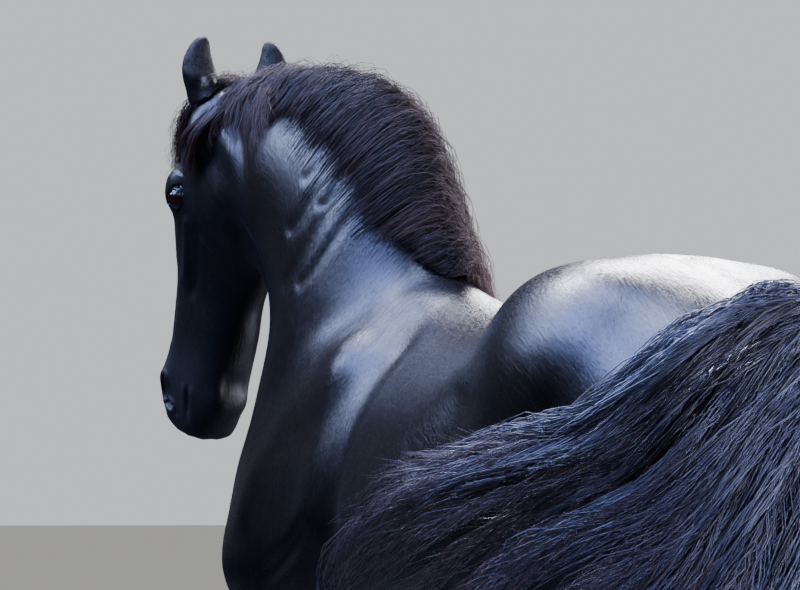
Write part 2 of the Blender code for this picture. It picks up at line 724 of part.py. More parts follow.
def faceted(mesh, triangles):
    """The fused flesh brought down to a number of triangles."""
    mesh.calc_loop_triangles()
    obj = new_object("flesh", mesh)
    thin = obj.modifiers.new("thin", "DECIMATE")
    thin.ratio = triangles / len(mesh.loop_triangles)
    graph = bpy.context.evaluated_depsgraph_get()
    found = bpy.data.meshes.new_from_object(obj.evaluated_get(graph))
    bpy.data.objects.remove(obj)
    return found


def swollen(name, mesh, by):
    """A cutter: the mesh with every point moved out along its normal."""
    found = mesh.copy()
    normals = np.empty(len(found.vertices) * 3)
    found.vertices.foreach_get("normal", normals)
    set_points(found, points_of(found) + by * normals.reshape(-1, 3))
    return as_cutter(new_object(name, found))


# ---------------------------------------------------------------- horn, eyes and ears
def leg_row(kind, height):
    """(out, behind, half width, half depth) of a leg at one height."""
    table = np.array(FORE_LEG if kind == "fore" else HIND_LEG)[::-1]
    return smooth(table[:, 0], table[:, 1:], [height])[0]


def hoof_rings(kind, side_name, grow):
    """A hoof from the floor to the coronet, which slopes down to the heels."""
    side = SIDES[side_name]
    toe_low, heel_low, toe_top, heel_top = HOOF[kind]
    out = side * HOOF_MIDDLE[kind]
    shift = stepped(kind, side_name, 0.06)
    t = np.linspace(0, 2 * math.pi, 18, endpoint=False)
    rings = []
    for share in (0.0, 0.5, 1.0):
        toe = toe_low + (toe_top - toe_low) * share
        heel = heel_low + (heel_top - heel_low) * share
        half_width = HOOF_WIDTH / 2 * (1 - share) + 0.056 * share
        across = (half_width + grow) * np.cos(t)
        along = ((heel - toe) / 2 + grow) * np.sin(t)
        behind = (toe + heel) / 2 + along
        slope = HOOF_TOP + (HOOF_HEEL - HOOF_TOP) * (behind - toe) / (heel - toe)
        rings.append(np.stack([out + across, behind - shift, share * slope + grow * (2 * share - 1)], -1))
    return bent(np.array(rings))


def feather_rings(kind, side_name):
    """The long hair round a fetlock, fullest at its back."""
    side = SIDES[side_name]
    t = np.linspace(0, 2 * math.pi, 12, endpoint=False)
    c, s = np.cos(t), np.sin(t)
    rings = []
    for height, front, sides, back in FEATHER:
        out, behind, half_width, half_depth = leg_row(kind, height)
        across = side * out + (half_width + sides) * c
        along = (half_depth + np.where(s > 0, back, front)) * s
        behind = behind - stepped(kind, side_name, height) + along
        rings.append(np.stack([across, behind, np.full(12, height)], -1))
    return bent(np.array(rings))


def eye_place(side):
    """The middle of one eyeball."""
    u, v, out = EYE_CENTRE
    return Vector(to_head(np.array([[u, v, side * out]]))[0])


def eye(side_name):
    """One eyeball, as a node of its own."""
    obj = ball(f"eye_{side_name}", eye_place(SIDES[side_name]), (EYE_RADIUS,) * 3, around=12)
    return into(obj, "horse")


def ear_rings(side_name):
    """A cupped leaf, as rings across it: the back of the ear, then its hollow front."""
    side = SIDES[side_name]
    lean_out, lean_front, opening = (math.radians(a) for a in EAR_POSE[side_name])
    up = Vector((-1.0, 0.0, 0.0))
    swing = (
        Matrix.Rotation(side * lean_out, 3, Vector((0, 1, 0)))
        @ Matrix.Rotation(-lean_front, 3, Vector((0, 0, 1)))
        @ Matrix.Rotation(side * opening, 3, up)
    )
    swing = np.array(swing)
    root = np.array([EAR_ROOT[0], EAR_ROOT[1], side * EAR_ROOT[2]])
    t = np.linspace(-1.0, 1.0, 7)
    rings = []
    for share, width, depth, curl in EAR:
        half = EAR_WIDTH * width
        wall = EAR_WALL if share < 0.9 else EAR_WALL * 0.7
        hollow = np.clip((share - 0.10) / 0.15, 0.0, 1.0)
        across = half * np.sin(t * math.radians(80))
        back = -depth * np.cos(t * math.radians(80))
        inner = back * (1 - wall / depth) * hollow + (1 - hollow) * np.abs(back) * 0.4
        inner_across = across * (1 - wall / (2 * half))
        ring_v = np.concatenate([back, inner[::-1]])
        ring_w = np.concatenate([across, inner_across[::-1]])
        inward = -side * curl
        local = np.stack([np.full(14, -share * EAR_LENGTH), ring_v, ring_w + inward], -1)
        rings.append(local @ swing.T + root)
    return to_head(np.array(rings))


# ---------------------------------------------------------------- the hair
def neck_section(place, share):
    """Points round the neck: `place` along it (in rows of NECK), `share` of a half turn
    from the crest, positive down the right side; with the outward direction at each."""
    rows, middle_y, x, y = neck_course()
    dense = np.linspace(0, len(NECK) - 1, len(rows))
    row = [np.interp(place, dense, column) for column in rows.T]
    crest_y, crest_z, under_y, under_z, width, waist, heading = row
    x0, y0, y_mid = (np.interp(place, dense, column) for column in (x, y, middle_y))
    angle = math.pi / 2 + math.pi * np.asarray(share)
    c, s = np.cos(angle), np.sin(angle)
    power = np.where(s >= 0, 1.75, 2.0)
    across = width * np.sign(c) * np.abs(c) ** (2 / power)
    rise = np.where(s >= 0, 1 - waist, waist) * np.sign(s) * np.abs(s) ** (2 / power)
    chord = np.array([crest_y - under_y, crest_z - under_z])
    length = np.linalg.norm(chord)
    flat = np.stack([across, (waist + rise) * length], -1)
    middle = np.array([0.0, waist * length])
    outward = flat - middle
    outward /= np.linalg.norm(outward, axis=1)[:, None]
    unit = chord / length

    def to_model(p):
        """Points (out, up the section) as places in the model."""
        local = np.stack([p[:, 0], under_y + p[:, 1] * unit[0] - y_mid, under_z + p[:, 1] * unit[1]], -1)
        moved = turned(local, math.radians(heading))
        return moved + np.array([x0, y0, 0.0])

    return flat, outward, to_model


def mane_rings():
    """The mane as a coat over the crest, thin at its two edges."""
    rings = []
    for place, left, right, stand, thick in MANE:
        share = np.concatenate([np.linspace(-left, 0.0, 4)[:-1], np.linspace(0.0, right, 9)])
        flat, outward, to_model = neck_section(place, share)
        ends = np.minimum((share + left) / 0.06, (right - share) / 0.10)
        taper = np.clip(ends, 0.0, 1.0) ** 0.5
        peak = np.exp(-((share / 0.12) ** 2))
        rise = (0.004 + thick * (1 - peak) + stand * peak) * taper + 0.003
        outer = flat + outward * rise[:, None]
        inner = flat - outward * 0.035
        rings.append(to_model(np.concatenate([outer, inner[::-1]])))
    return np.array(rings)


def forelock_rings():
    """The forelock as a tapering lock over the forehead."""
    t = np.linspace(0, 2 * math.pi, 12, endpoint=False)
    rings = []
    for u, v, out, half_width, half_thick in FORELOCK:
        ring = [np.full(12, u), v + half_thick * np.sin(t), out + half_width * np.cos(t)]
        rings.append(np.stack(ring, -1))
    return to_head(np.array(rings))


def tail_point(reach, height, off):
    """A point of the curtain of the tail, `off` its middle surface."""
    plan = np.array(TAIL_PLAN)
    spot = smooth(plan[:, 0], plan[:, 1:], reach)
    ahead = smooth(plan[:, 0], plan[:, 1:], np.asarray(reach) + 0.01)
    along = ahead - smooth(plan[:, 0], plan[:, 1:], np.asarray(reach) - 0.01)
    along /= np.linalg.norm(along, axis=1)[:, None]
    normal = np.stack([-along[:, 1], along[:, 0]], -1)
    flat = spot + normal * np.asarray(off)[:, None]
    return np.stack([flat[:, 0], flat[:, 1], height], -1)


def tail_rings():
    """Rings from root to tip, each an oval from the hanging strand to the highest one."""
    top, low = np.array(TAIL_TOP), np.array(TAIL_HANGING)
    t = np.linspace(0, 2 * math.pi, 22, endpoint=False)
    share = 0.5 + 0.5 * np.cos(t)
    rings = []
    for behind in (0.0, 0.55):
        root = np.array(TAIL_ROOT[0]) + behind * (np.array(TAIL_ROOT[1]) - np.array(TAIL_ROOT[0]))
        ring = np.stack([0.030 * np.sin(t), 0.0 * t, 0.034 * np.cos(t)], -1)
        rings.append(ring + root)
    for k in range(len(top)):
        reach = low[k, 0] + (top[k, 0] - low[k, 0]) * share
        bow = np.sin(math.pi * share) * 0.10 * (k / len(top))
        height = low[k, 1] + (top[k, 1] - low[k, 1]) * share - bow
        edge = np.abs(np.sin(t)) ** 0.7 * np.sign(np.sin(t))
        ripple = 1 + 0.16 * np.cos(14 * share + 1.5 * k)
        rings.append(tail_point(reach, height, -TAIL_THICK[k] / 2 * edge * ripple))
    return np.array(rings)


# ---------------------------------------------------------------- finishes
def finish(obj, kind):
    """Gives a node one plain colour."""
    found = bpy.data.materials.new(f"{obj.name}_{kind}")
    found.use_nodes = True
    shader = found.node_tree.nodes["Principled BSDF"]
    shader.inputs["Base Color"].default_value = COLOURS[kind]
    shader.inputs["Roughness"].default_value = ROUGHNESS[kind]
    obj.data.materials.clear()
    obj.data.materials.append(found)


def main():
    """Builds every node, then moves the model over the origin."""
    clear_scene()
    mesh = fused(flesh_masses(), VOXEL)
    points = points_of(mesh)
    set_points(mesh, relaxed(points, neighbours(mesh), 0.5 * softness(points), 40))
    flesh = faceted(mesh, FLESH_TRIANGLES)
    near = GAP / 2

    # eyes first: their sockets are cut from the head
    eyes = [eye(name) for name in SIDES]
    sockets = [
        as_cutter(ball(f"socket_{name}", eye_place(side), (EYE_RADIUS + GAP,) * 3, around=12))
        for name, side in SIDES.items()
    ]
    in_head, off_head = region("head", -near), region("head", near)
    in_neck, off_neck = region("neck", -near), region("neck", near)
    steps = [("INTERSECT", in_head)] + [("DIFFERENCE", socket) for socket in sockets]
    head = carved("head", flesh, steps)
    neck = carved("neck", flesh, [("INTERSECT", in_neck), ("DIFFERENCE", off_head)])

    off_flesh = [("DIFFERENCE", swollen("flesh_swollen", flesh, HAIR_GAP))]
    off_legs, legs, hooves, feathers = {}, [], [], []
    for kind in ("fore", "hind"):
        for name, side in SIDES.items():
            in_leg = region(kind, -near, side)
            off_legs[kind, name] = region(kind, near, side)
            horn = as_cutter(loft(f"coronet_{kind}_{name}", hoof_rings(kind, name, GAP)))
            cut = [("INTERSECT", in_leg), ("DIFFERENCE", horn)]
            legs.append(carved(f"{kind}_leg_{name}", flesh, cut))
            hoof = loft(f"hoof_{kind}_{name}", hoof_rings(kind, name, 0.0))
            hooves.append(into(hoof, "horse"))
            rough = loft(f"feather_rough_{kind}_{name}", feather_rings(kind, name))
            off_horn = [*off_flesh, ("DIFFERENCE", horn)]
            feathers.append(carved(f"feather_{kind}_{name}", rough.data, off_horn))
            bpy.data.objects.remove(rough)

    off_fore = [off_legs["fore", name] for name in SIDES]
    stretches = {
        "trunk_fore": (-1.50, BARREL_FROM, [off_neck, off_head, *off_fore]),
        "trunk_barrel": (BARREL_FROM, BARREL_TO, [off_neck, *off_legs.values()]),
        "trunk_hind": (BARREL_TO, 2.00, [off_legs["hind", "left"], off_legs["hind", "right"]]),
    }
    trunk = []
    for name, (start, end, others) in stretches.items():
        steps = [("INTERSECT", slab(start, end, -near))]
        steps += [("DIFFERENCE", other) for other in others]
        trunk.append(carved(name, flesh, steps))

    hair, ears = [], []
    for name in SIDES:
        leaf = loft(f"leaf_{name}", ear_rings(name))
        ears.append(carved(f"ear_{name}", leaf.data, off_flesh))
        bpy.data.objects.remove(leaf)
    for name, rings in (("mane", mane_rings()), ("forelock", forelock_rings()), ("tail", tail_rings())):
        rough = loft(f"{name}_rough", rings)
        hair.append(carved(name, rough.data, [*off_flesh, ("DIFFERENCE", head), ("DIFFERENCE", neck)]))
        bpy.data.objects.remove(rough)

    for obj in [head, neck, *legs, *trunk, *ears]:
        finish(obj, "coat")
    for obj in eyes:
        finish(obj, "eye")
    for obj in hooves:
        finish(obj, "horn")
    for obj in [*hair, *feathers]:
        finish(obj, "hair")
    nodes = list(collection("horse").objects)
    points = np.concatenate([points_of(obj.data) for obj in nodes])
    middle = (points.min(axis=0) + points.max(axis=0)) / 2
    to_floor = Vector((-middle[0], -middle[1], 0.0))
    for obj in bpy.data.objects:
        if obj.type == "MESH":
            obj.data.transform(Matrix.Translation(to_floor))


if __name__ == "__main__":
    main()
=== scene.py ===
"""The looks of a life-size black horse: one skin over the flesh, eyes, hooves, and the coat.

The horse faces -Y with its left side towards +X, and stands on z = 0. Its body is designed
straight, with the withers over the origin, then bent along its back; `Body.shift` carries the
design into the frame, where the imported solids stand. Lengths are in metres.
"""

from __future__ import annotations

import logging
import math
from dataclasses import dataclass, field
from enum import Enum
from typing import Callable, Sequence

import bmesh
import bpy
import numpy as np
from bpy.types import ID, Material, Mesh, Node, NodeSocket, Object
from mathutils import Matrix, Vector


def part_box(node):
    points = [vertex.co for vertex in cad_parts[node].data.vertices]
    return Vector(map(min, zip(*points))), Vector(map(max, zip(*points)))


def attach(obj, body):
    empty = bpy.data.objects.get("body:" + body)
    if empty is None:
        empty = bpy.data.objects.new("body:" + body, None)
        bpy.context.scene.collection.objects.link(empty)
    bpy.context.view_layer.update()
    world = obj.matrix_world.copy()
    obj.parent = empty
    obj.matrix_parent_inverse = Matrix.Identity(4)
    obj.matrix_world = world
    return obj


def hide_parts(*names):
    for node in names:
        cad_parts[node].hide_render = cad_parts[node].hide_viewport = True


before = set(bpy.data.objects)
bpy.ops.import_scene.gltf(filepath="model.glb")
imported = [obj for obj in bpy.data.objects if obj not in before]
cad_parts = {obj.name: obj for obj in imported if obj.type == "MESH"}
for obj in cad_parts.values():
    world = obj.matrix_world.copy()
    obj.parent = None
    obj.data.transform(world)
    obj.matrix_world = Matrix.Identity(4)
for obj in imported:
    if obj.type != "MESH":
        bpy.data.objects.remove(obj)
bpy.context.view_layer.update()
LOG = logging.getLogger("horse")
Array = np.ndarray
Rows = Sequence[Sequence[float]]


class Side(Enum):
    """The two sides of the animal, as the sign of X."""

    LEFT = 1
    RIGHT = -1

    @property
    def word(self) -> str:
        """The side's name in the nodes."""
        return self.name.lower()


class Limb(Enum):
    """The two kinds of leg."""

    FORE = "fore"
    HIND = "hind"


# ---- curves and shells
def hermite(knots: Sequence[float], values: Rows, at: Array) -> Array:
    """Reads a smooth curve through some knots.

    Each cell is a cubic Hermite whose slopes are the central differences of the values.

    Args:
        knots: Rising places of the values.
        values: One row of numbers for each knot.
        at: Places to read, held inside the knots.

    Returns:
        One row of numbers for each place.
    """
    knots = np.asarray(knots, float)
    values = np.asarray(values, float).reshape(len(knots), -1)
    at = np.clip(np.asarray(at, float), knots[0], knots[-1])
    slope = np.gradient(values, knots, axis=0)
    cell = np.clip(np.searchsorted(knots, at, side="right") - 1, 0, len(knots) - 2)
    width = (knots[cell + 1] - knots[cell])[..., None]
    t = (at - knots[cell])[..., None] / width
    return (
        (2 * t**3 - 3 * t**2 + 1) * values[cell]
        + (t**3 - 2 * t**2 + t) * width * slope[cell]
        + (3 * t**2 - 2 * t**3) * values[cell + 1]
        + (t**3 - t**2) * width * slope[cell + 1]
    )


def ramp(x: Array, low: float, high: float) -> Array:
    """Rises from 0 at `low` to 1 at `high` as 3t^2 - 2t^3."""
    t = np.clip((np.asarray(x, float) - low) / (high - low), 0.0, 1.0)
    return t * t * (3 - 2 * t)


def unit(vectors: Array) -> Array:
    """The vectors at length 1."""
    return vectors / np.maximum(np.linalg.norm(vectors, axis=-1, keepdims=True), 1e-12)


def outline(across: float, up: float, down: float, square_up: float, square_down: float,
            count: int) -> tuple[Array, Array]:
    """A superellipse with its own upper and lower half: |x|^p + |y|^p = 1, scaled.

    Args:
        across: Half width.
        up: Height of the upper half.
        down: Height of the lower half.
        square_up: The power p of the upper half; 2 is an ellipse.
        square_down: The power p of the lower half.
        count: Number of points round it.

    Returns:
        The points' places across and up.
    """
    t = np.linspace(0, 2 * math.pi, count, endpoint=False)
    c, s = np.cos(t), np.sin(t)
    power = np.where(s >= 0, square_up, square_down)
    x = across * np.sign(c) * np.abs(c) ** (2 / power)
    y = np.where(s >= 0, up, down) * np.sign(s) * np.abs(s) ** (2 / power)
    return x, y


def metres(rows: Rows, lengths: int) -> Array:
    """A table whose first `lengths` columns are in millimetres, with those in metres.

    Args:
        rows: The table.
        lengths: How many columns are lengths.

    Returns:
        The table as an array.
    """
    table = np.array(rows, float)
    table[:, :lengths] /= 1000
    return table


def ringed(table: Array, around: int, count: int = 72) -> Array:
    """Superellipse rings through a table of sections, read smoothly between its rows.

    Args:
        table: Rows of place, upper edge, middle, lower edge, half width and two powers.
        around: Points round each ring.
        count: Number of rings.

    Returns:
        Rings x points x (place, across, up).
    """
    places = np.linspace(table[0, 0], table[-1, 0], count)
    rings = []
    for place, row in zip(places, hermite(table[:, 0], table[:, 1:], places)):
        high, middle, low, width, square_high, square_low = row
        x, rise = outline(width, high - middle, middle - low, square_high, square_low, around)
        rings.append(np.stack([np.full(around, place), x, middle + rise], -1))
    return np.array(rings)


@dataclass
class Shell:
    """Points and triangles of a closed surface."""

    points: Array
    faces: Array

    @staticmethod
    def tube(rings: Array) -> "Shell":
        """A closed tube through rings of points, its ends closed by fans to their middles.

        Args:
            rings: An array of rings x points round x 3.

        Returns:
            The shell.
        """
        count, around = rings.shape[:2]
        i, j = np.meshgrid(np.arange(count - 1), np.arange(around), indexing="ij")
        a, b = i * around + j, i * around + (j + 1) % around
        c, d = b + around, a + around
        sides = np.concatenate([np.stack([a, b, c], -1), np.stack([a, c, d], -1)]).reshape(-1, 3)
        first, last = count * around, count * around + 1
        k = np.arange(around)
        after = (k + 1) % around
        start = np.stack([np.full(around, first), after, k], -1)
        end = np.stack([np.full(around, last), (count - 1) * around + k, (count - 1) * around + after], -1)
        points = np.concatenate([rings.reshape(-1, 3), [rings[0].mean(0)], [rings[-1].mean(0)]])
        return Shell(points, np.concatenate([sides, start, end]))

    @staticmethod
    def ball(half_sizes: Sequence[float], rows: int = 18, around: int = 28) -> "Shell":
        """An ellipsoid round the origin, its rings set by the angle from the upper pole.

        Args:
            half_sizes: Half the length along each axis.
            rows: Rings from pole to pole.
            around: Points in each ring.

        Returns:
            The ellipsoid.
        """
        polar = np.linspace(0.02, math.pi - 0.02, rows)[:, None]
        t = np.linspace(0, 2 * math.pi, around, endpoint=False)[None, :]
        unit_ball = np.stack([np.sin(polar) * np.cos(t), np.sin(polar) * np.sin(t),
                              np.cos(polar) + 0 * t], -1)
        return Shell.tube(unit_ball * np.asarray(half_sizes))

    @staticmethod
    def joined(shells: Sequence["Shell"]) -> "Shell":
        """All the shells as one, each still loose.

        Args:
            shells: The shells to join.

        Returns:
            One shell.
        """
        offsets = np.cumsum([0] + [len(s.points) for s in shells[:-1]])
        faces = [s.faces + k for s, k in zip(shells, offsets)]
        return Shell(np.concatenate([s.points for s in shells]), np.concatenate(faces))

    def outward(self) -> "Shell":
        """The same shell with its faces turned outwards: its signed volume is made positive.

        Returns:
            This shell, turned.
        """
        a, b, c = (self.points[self.faces[:, k]] for k in range(3))
        volume = np.einsum("ij,ij->i", a, np.cross(b, c)).sum()
        return self if volume > 0 else Shell(self.points, self.faces[:, ::-1])

    def mesh(self, name: str) -> Mesh:
        """The shell as a smooth-shaded Blender mesh.

        Args:
            name: The mesh's name.

        Returns:
            The mesh.
        """
        found = bpy.data.meshes.new(name)
        sides = self.faces.shape[1]
        found.vertices.add(len(self.points))
        found.vertices.foreach_set("co", self.points.astype(np.float32).ravel())
        found.loops.add(self.faces.size)
        found.loops.foreach_set("vertex_index", self.faces.astype(np.int32).ravel())
        found.polygons.add(len(self.faces))
        starts = np.arange(len(self.faces), dtype=np.int32) * sides
        found.polygons.foreach_set("loop_start", starts)
        found.polygons.foreach_set("use_smooth", np.ones(len(self.faces), bool))
        found.update(calc_edges=True)
        return found


def vectors_of(mesh: Mesh, what: str = "co") -> Array:
    """The points of a mesh, or their normals, as rows of three.

    Args:
        mesh: The mesh to read.
        what: Which of its vectors to read.

    Returns:
        Rows of three.
    """
    flat = np.empty(len(mesh.vertices) * 3)
    mesh.vertices.foreach_get(what, flat)
    return flat.reshape(-1, 3)


def move_points(mesh: Mesh, points: Array) -> None:
    """Puts a mesh's points in new places."""
    mesh.vertices.foreach_set("co", np.ascontiguousarray(points, np.float32).ravel())
    mesh.update()


def ease(mesh: Mesh, strength: Array, rounds: int) -> None:
    """Moves points towards the mean of their neighbours, each by its own strength, in rounds.

    Args:
        mesh: The mesh to ease.
        strength: Each point's share of the way to the mean.
        rounds: How often.
    """
    points, flat = vectors_of(mesh), np.empty(len(mesh.edges) * 2, np.int32)
    mesh.edges.foreach_get("vertices", flat)
    edges = flat.reshape(-1, 2)
    a, b = np.concatenate([edges, edges[:, ::-1]]).T
    degree = np.bincount(a, minlength=len(points))[:, None]
    for _ in range(rounds):
        sums = [np.bincount(a, weights=points[b, k], minlength=len(points)) for k in range(3)]
        points = points + strength[:, None] * (np.stack(sums, -1) / degree - points)
    move_points(mesh, points)


def put_in_scene(name: str, data: ID) -> Object:
    """A new object at the origin that holds a mesh, a lamp or a lens.

    Args:
        name: The object's name.
        data: What it holds.

    Returns:
        The object.
    """
    obj = bpy.data.objects.new(name, data)
    bpy.context.scene.collection.objects.link(obj)
    return obj


def applied(obj: Object) -> Mesh:
    """The object's mesh after its modifiers."""
    graph = bpy.context.evaluated_depsgraph_get()
    return bpy.data.meshes.new_from_object(obj.evaluated_get(graph))


def near_path(points: Array, path: Array) -> tuple[Array, Array]:
    """The distance from each point to a path of straight runs.

    Args:
        points: Rows of three.
        path: The path's own points.

    Returns:
        One distance for each point, and the share of the path where it is nearest.
    """
    best, share = np.full(len(points), np.inf), np.zeros(len(points))
    for k, (start, end) in enumerate(zip(path[:-1], path[1:])):
        run = end - start
        t = np.clip((points - start) @ run / max(run @ run, 1e-12), 0.0, 1.0)
        distance = np.linalg.norm(points - start - t[:, None] * run, axis=1)
        share = np.where(distance < best, (k + t) / (len(path) - 1), share)
        best = np.minimum(best, distance)
    return best, share


def threaded(knots: Array, count: int = 24) -> Array:
    """A smooth path with `count` points through a few knots."""
    at = np.linspace(0, len(knots) - 1, count)
    return hermite(np.arange(len(knots)), knots, at)


# ---- the plan of the body
@dataclass(frozen=True)
class Spine:
    """The bend of the back: its heading to the left at some distances ahead of the withers."""

    ahead: tuple[float, ...] = (-0.6, -0.2, 0.1, 0.45)
    turn_deg: tuple[float, ...] = (0.0, 4.0, 10.0, 17.0)

    def carry(self, points: Array) -> Array:
        """Carries points of the straight horse along the bend.

        The heading is integrated ahead of and behind the withers, and a point keeps its
        distance square to that line.

        Args:
            points: Rows of (out, behind, up).

        Returns:
            Rows of (x, y, z).
        """
        ahead = np.linspace(-1.4, 0.75, 216)
        heading = np.radians(hermite(self.ahead, self.turn_deg, ahead)[:, 0])
        step = np.gradient(ahead)
        left, front = np.cumsum(np.sin(heading) * step), np.cumsum(np.cos(heading) * step)
        zero = int(np.argmin(np.abs(ahead)))
        at = -points[..., 1]
        turn = np.interp(at, ahead, heading)
        x = np.interp(at, ahead, left - left[zero]) + points[..., 0] * np.cos(turn)
        y = -np.interp(at, ahead, front - front[zero]) + points[..., 0] * np.sin(turn)
        return np.stack([x, y, points[..., 2]], axis=-1)


@dataclass(frozen=True)
class Trunk:
    """The barrel and croup as sections across the back, from the breast to the buttocks."""

    spine: Spine
    # behind the withers, top, height of the greatest width, underside, half width,
    # how square the upper half is, how square the lower half is
    sections: Rows = (
        (-485, 1240, 1150, 1060, 70, 2, 2), (-460, 1340, 1150, 990, 150, 2, 2),
        (-400, 1440, 1140, 930, 215, 2, 2.1), (-300, 1520, 1150, 893, 252, 1.9, 2.2),
        (-150, 1582, 1170, 876, 266, 1.6, 2.3), (0, 1602, 1190, 868, 276, 1.45, 2.3),
        (120, 1562, 1190, 862, 294, 1.6, 2.2), (250, 1524, 1180, 858, 316, 1.9, 2.1),
        (400, 1514, 1170, 858, 332, 2.1, 2.1), (550, 1561, 1170, 872, 330, 2.2, 2.1),
        (680, 1605, 1200, 902, 312, 2.3, 2.1), (800, 1603, 1260, 945, 296, 2.3, 2.1),
        (900, 1572, 1290, 985, 282, 2.3, 2.1), (1000, 1532, 1290, 1010, 262, 2.2, 2),
        (1080, 1494, 1290, 1040, 228, 2.1, 2), (1140, 1460, 1280, 1080, 178, 2, 2),
        (1175, 1405, 1270, 1140, 118, 2, 2), (1192, 1330, 1260, 1190, 55, 2, 2),
    )

    def shell(self) -> Shell:
        """The trunk as a tube through its sections."""
        return Shell.tube(self.spine.carry(ringed(metres(self.sections, 5), 40)[..., [1, 0, 2]]))


@dataclass(frozen=True)
class Leg:
    """One leg, as sections across it from the body to the pastern."""

    spine: Spine
    limb: Limb
    side: Side
    step_ahead: float
    # in millimetres: height, out from the midline, behind the withers, half width, half depth
    fore: Rows = (
        (1180, 165, -230, 80, 150), (1060, 172, -205, 88, 150), (960, 172, -185, 83, 133),
        (880, 167, -182, 72, 112), (780, 160, -190, 60, 90), (680, 155, -198, 50, 70),
        (600, 152, -205, 45, 58), (545, 150, -210, 48, 54), (495, 150, -214, 51, 54),
        (450, 150, -211, 45, 49), (405, 149, -206, 36, 45), (330, 148, -204, 32, 43),
        (260, 148, -203, 33, 45), (205, 148, -203, 39, 50), (160, 148, -219, 34, 42),
        (115, 148, -242, 36, 41), (72, 148, -262, 46, 53), (30, 148, -280, 48, 55),
    )
    hind: Rows = (
        (1240, 150, 915, 110, 245), (1140, 165, 905, 112, 258), (1040, 172, 888, 104, 252),
        (960, 170, 868, 91, 230), (880, 162, 882, 77, 182), (800, 153, 922, 61, 128),
        (730, 147, 968, 50, 98), (675, 143, 1016, 44, 88), (625, 141, 1040, 44, 75),
        (570, 140, 1050, 45, 61), (510, 139, 1056, 38, 51), (450, 138, 1060, 34, 47),
        (350, 138, 1064, 32, 45), (270, 138, 1068, 34, 47), (212, 138, 1068, 41, 53),
        (165, 138, 1052, 35, 44), (118, 138, 1028, 37, 43), (74, 138, 1008, 46, 53), (30, 138, 990, 48, 55),
    )
    hoof_top: float = 0.092
    hoof_heel: float = 0.05
    hoof_width: float = 0.138
    coronet_half_width: float = 0.056
    # toe and heel on the floor, toe and heel at the coronet, behind the withers; and out
    fore_hoof: tuple[float, ...] = (-0.372, -0.224, -0.314, -0.206, 0.148)
    hind_hoof: tuple[float, ...] = (0.9, 1.046, 0.956, 1.064, 0.138)

    @property
    def table(self) -> Array:
        """The sections of this kind of leg, lowest first."""
        return metres(self.fore if self.limb is Limb.FORE else self.hind, 5)[::-1]

    @property
    def name(self) -> str:
        """What the nodes call this leg, such as fore_left."""
        return f"{self.limb.value}_{self.side.word}"

    def ahead(self, height: Array) -> Array:
        """How far the leg has stepped ahead at a height: the step grows down the leg."""
        top = self.table[-1, 0]
        return self.step_ahead * np.clip(1 - np.asarray(height) / top, 0.0, 1.0) ** 1.3

    def around(self, height: Array, angle: Array, clear: Array) -> Array:
        """Points round the leg, some way clear of it.

        Args:
            height: Height of each point.
            angle: Angle round the leg: 0 is outwards, a quarter turn is behind.
            clear: Distance from the leg's own section.

        Returns:
            Points in the bent body.
        """
        rows = hermite(self.table[:, 0], self.table[:, 1:], height)
        out, behind, half_width, half_depth = np.moveaxis(rows, -1, 0)
        x = self.side.value * (out + (half_width + clear) * np.cos(angle))
        y = behind - self.ahead(height) + (half_depth + clear) * np.sin(angle)
        return self.spine.carry(np.stack([x, y, height], -1))

    def shell(self) -> Shell:
        """The leg as a tube through its sections.

        Returns:
            The leg's tube.
        """
        heights = np.linspace(self.table[0, 0], self.table[-1, 0], 72)
        rings = []
        for z, row in zip(heights, hermite(self.table[:, 0], self.table[:, 1:], heights)):
            out, behind, width, depth = row
            x, y = outline(width, depth, depth, 2.1, 2.1, 32)
            place = [self.side.value * out + x, behind - self.ahead(z) + y, np.full(32, z)]
            rings.append(np.stack(place, -1))
        return Shell.tube(self.spine.carry(np.array(rings)))


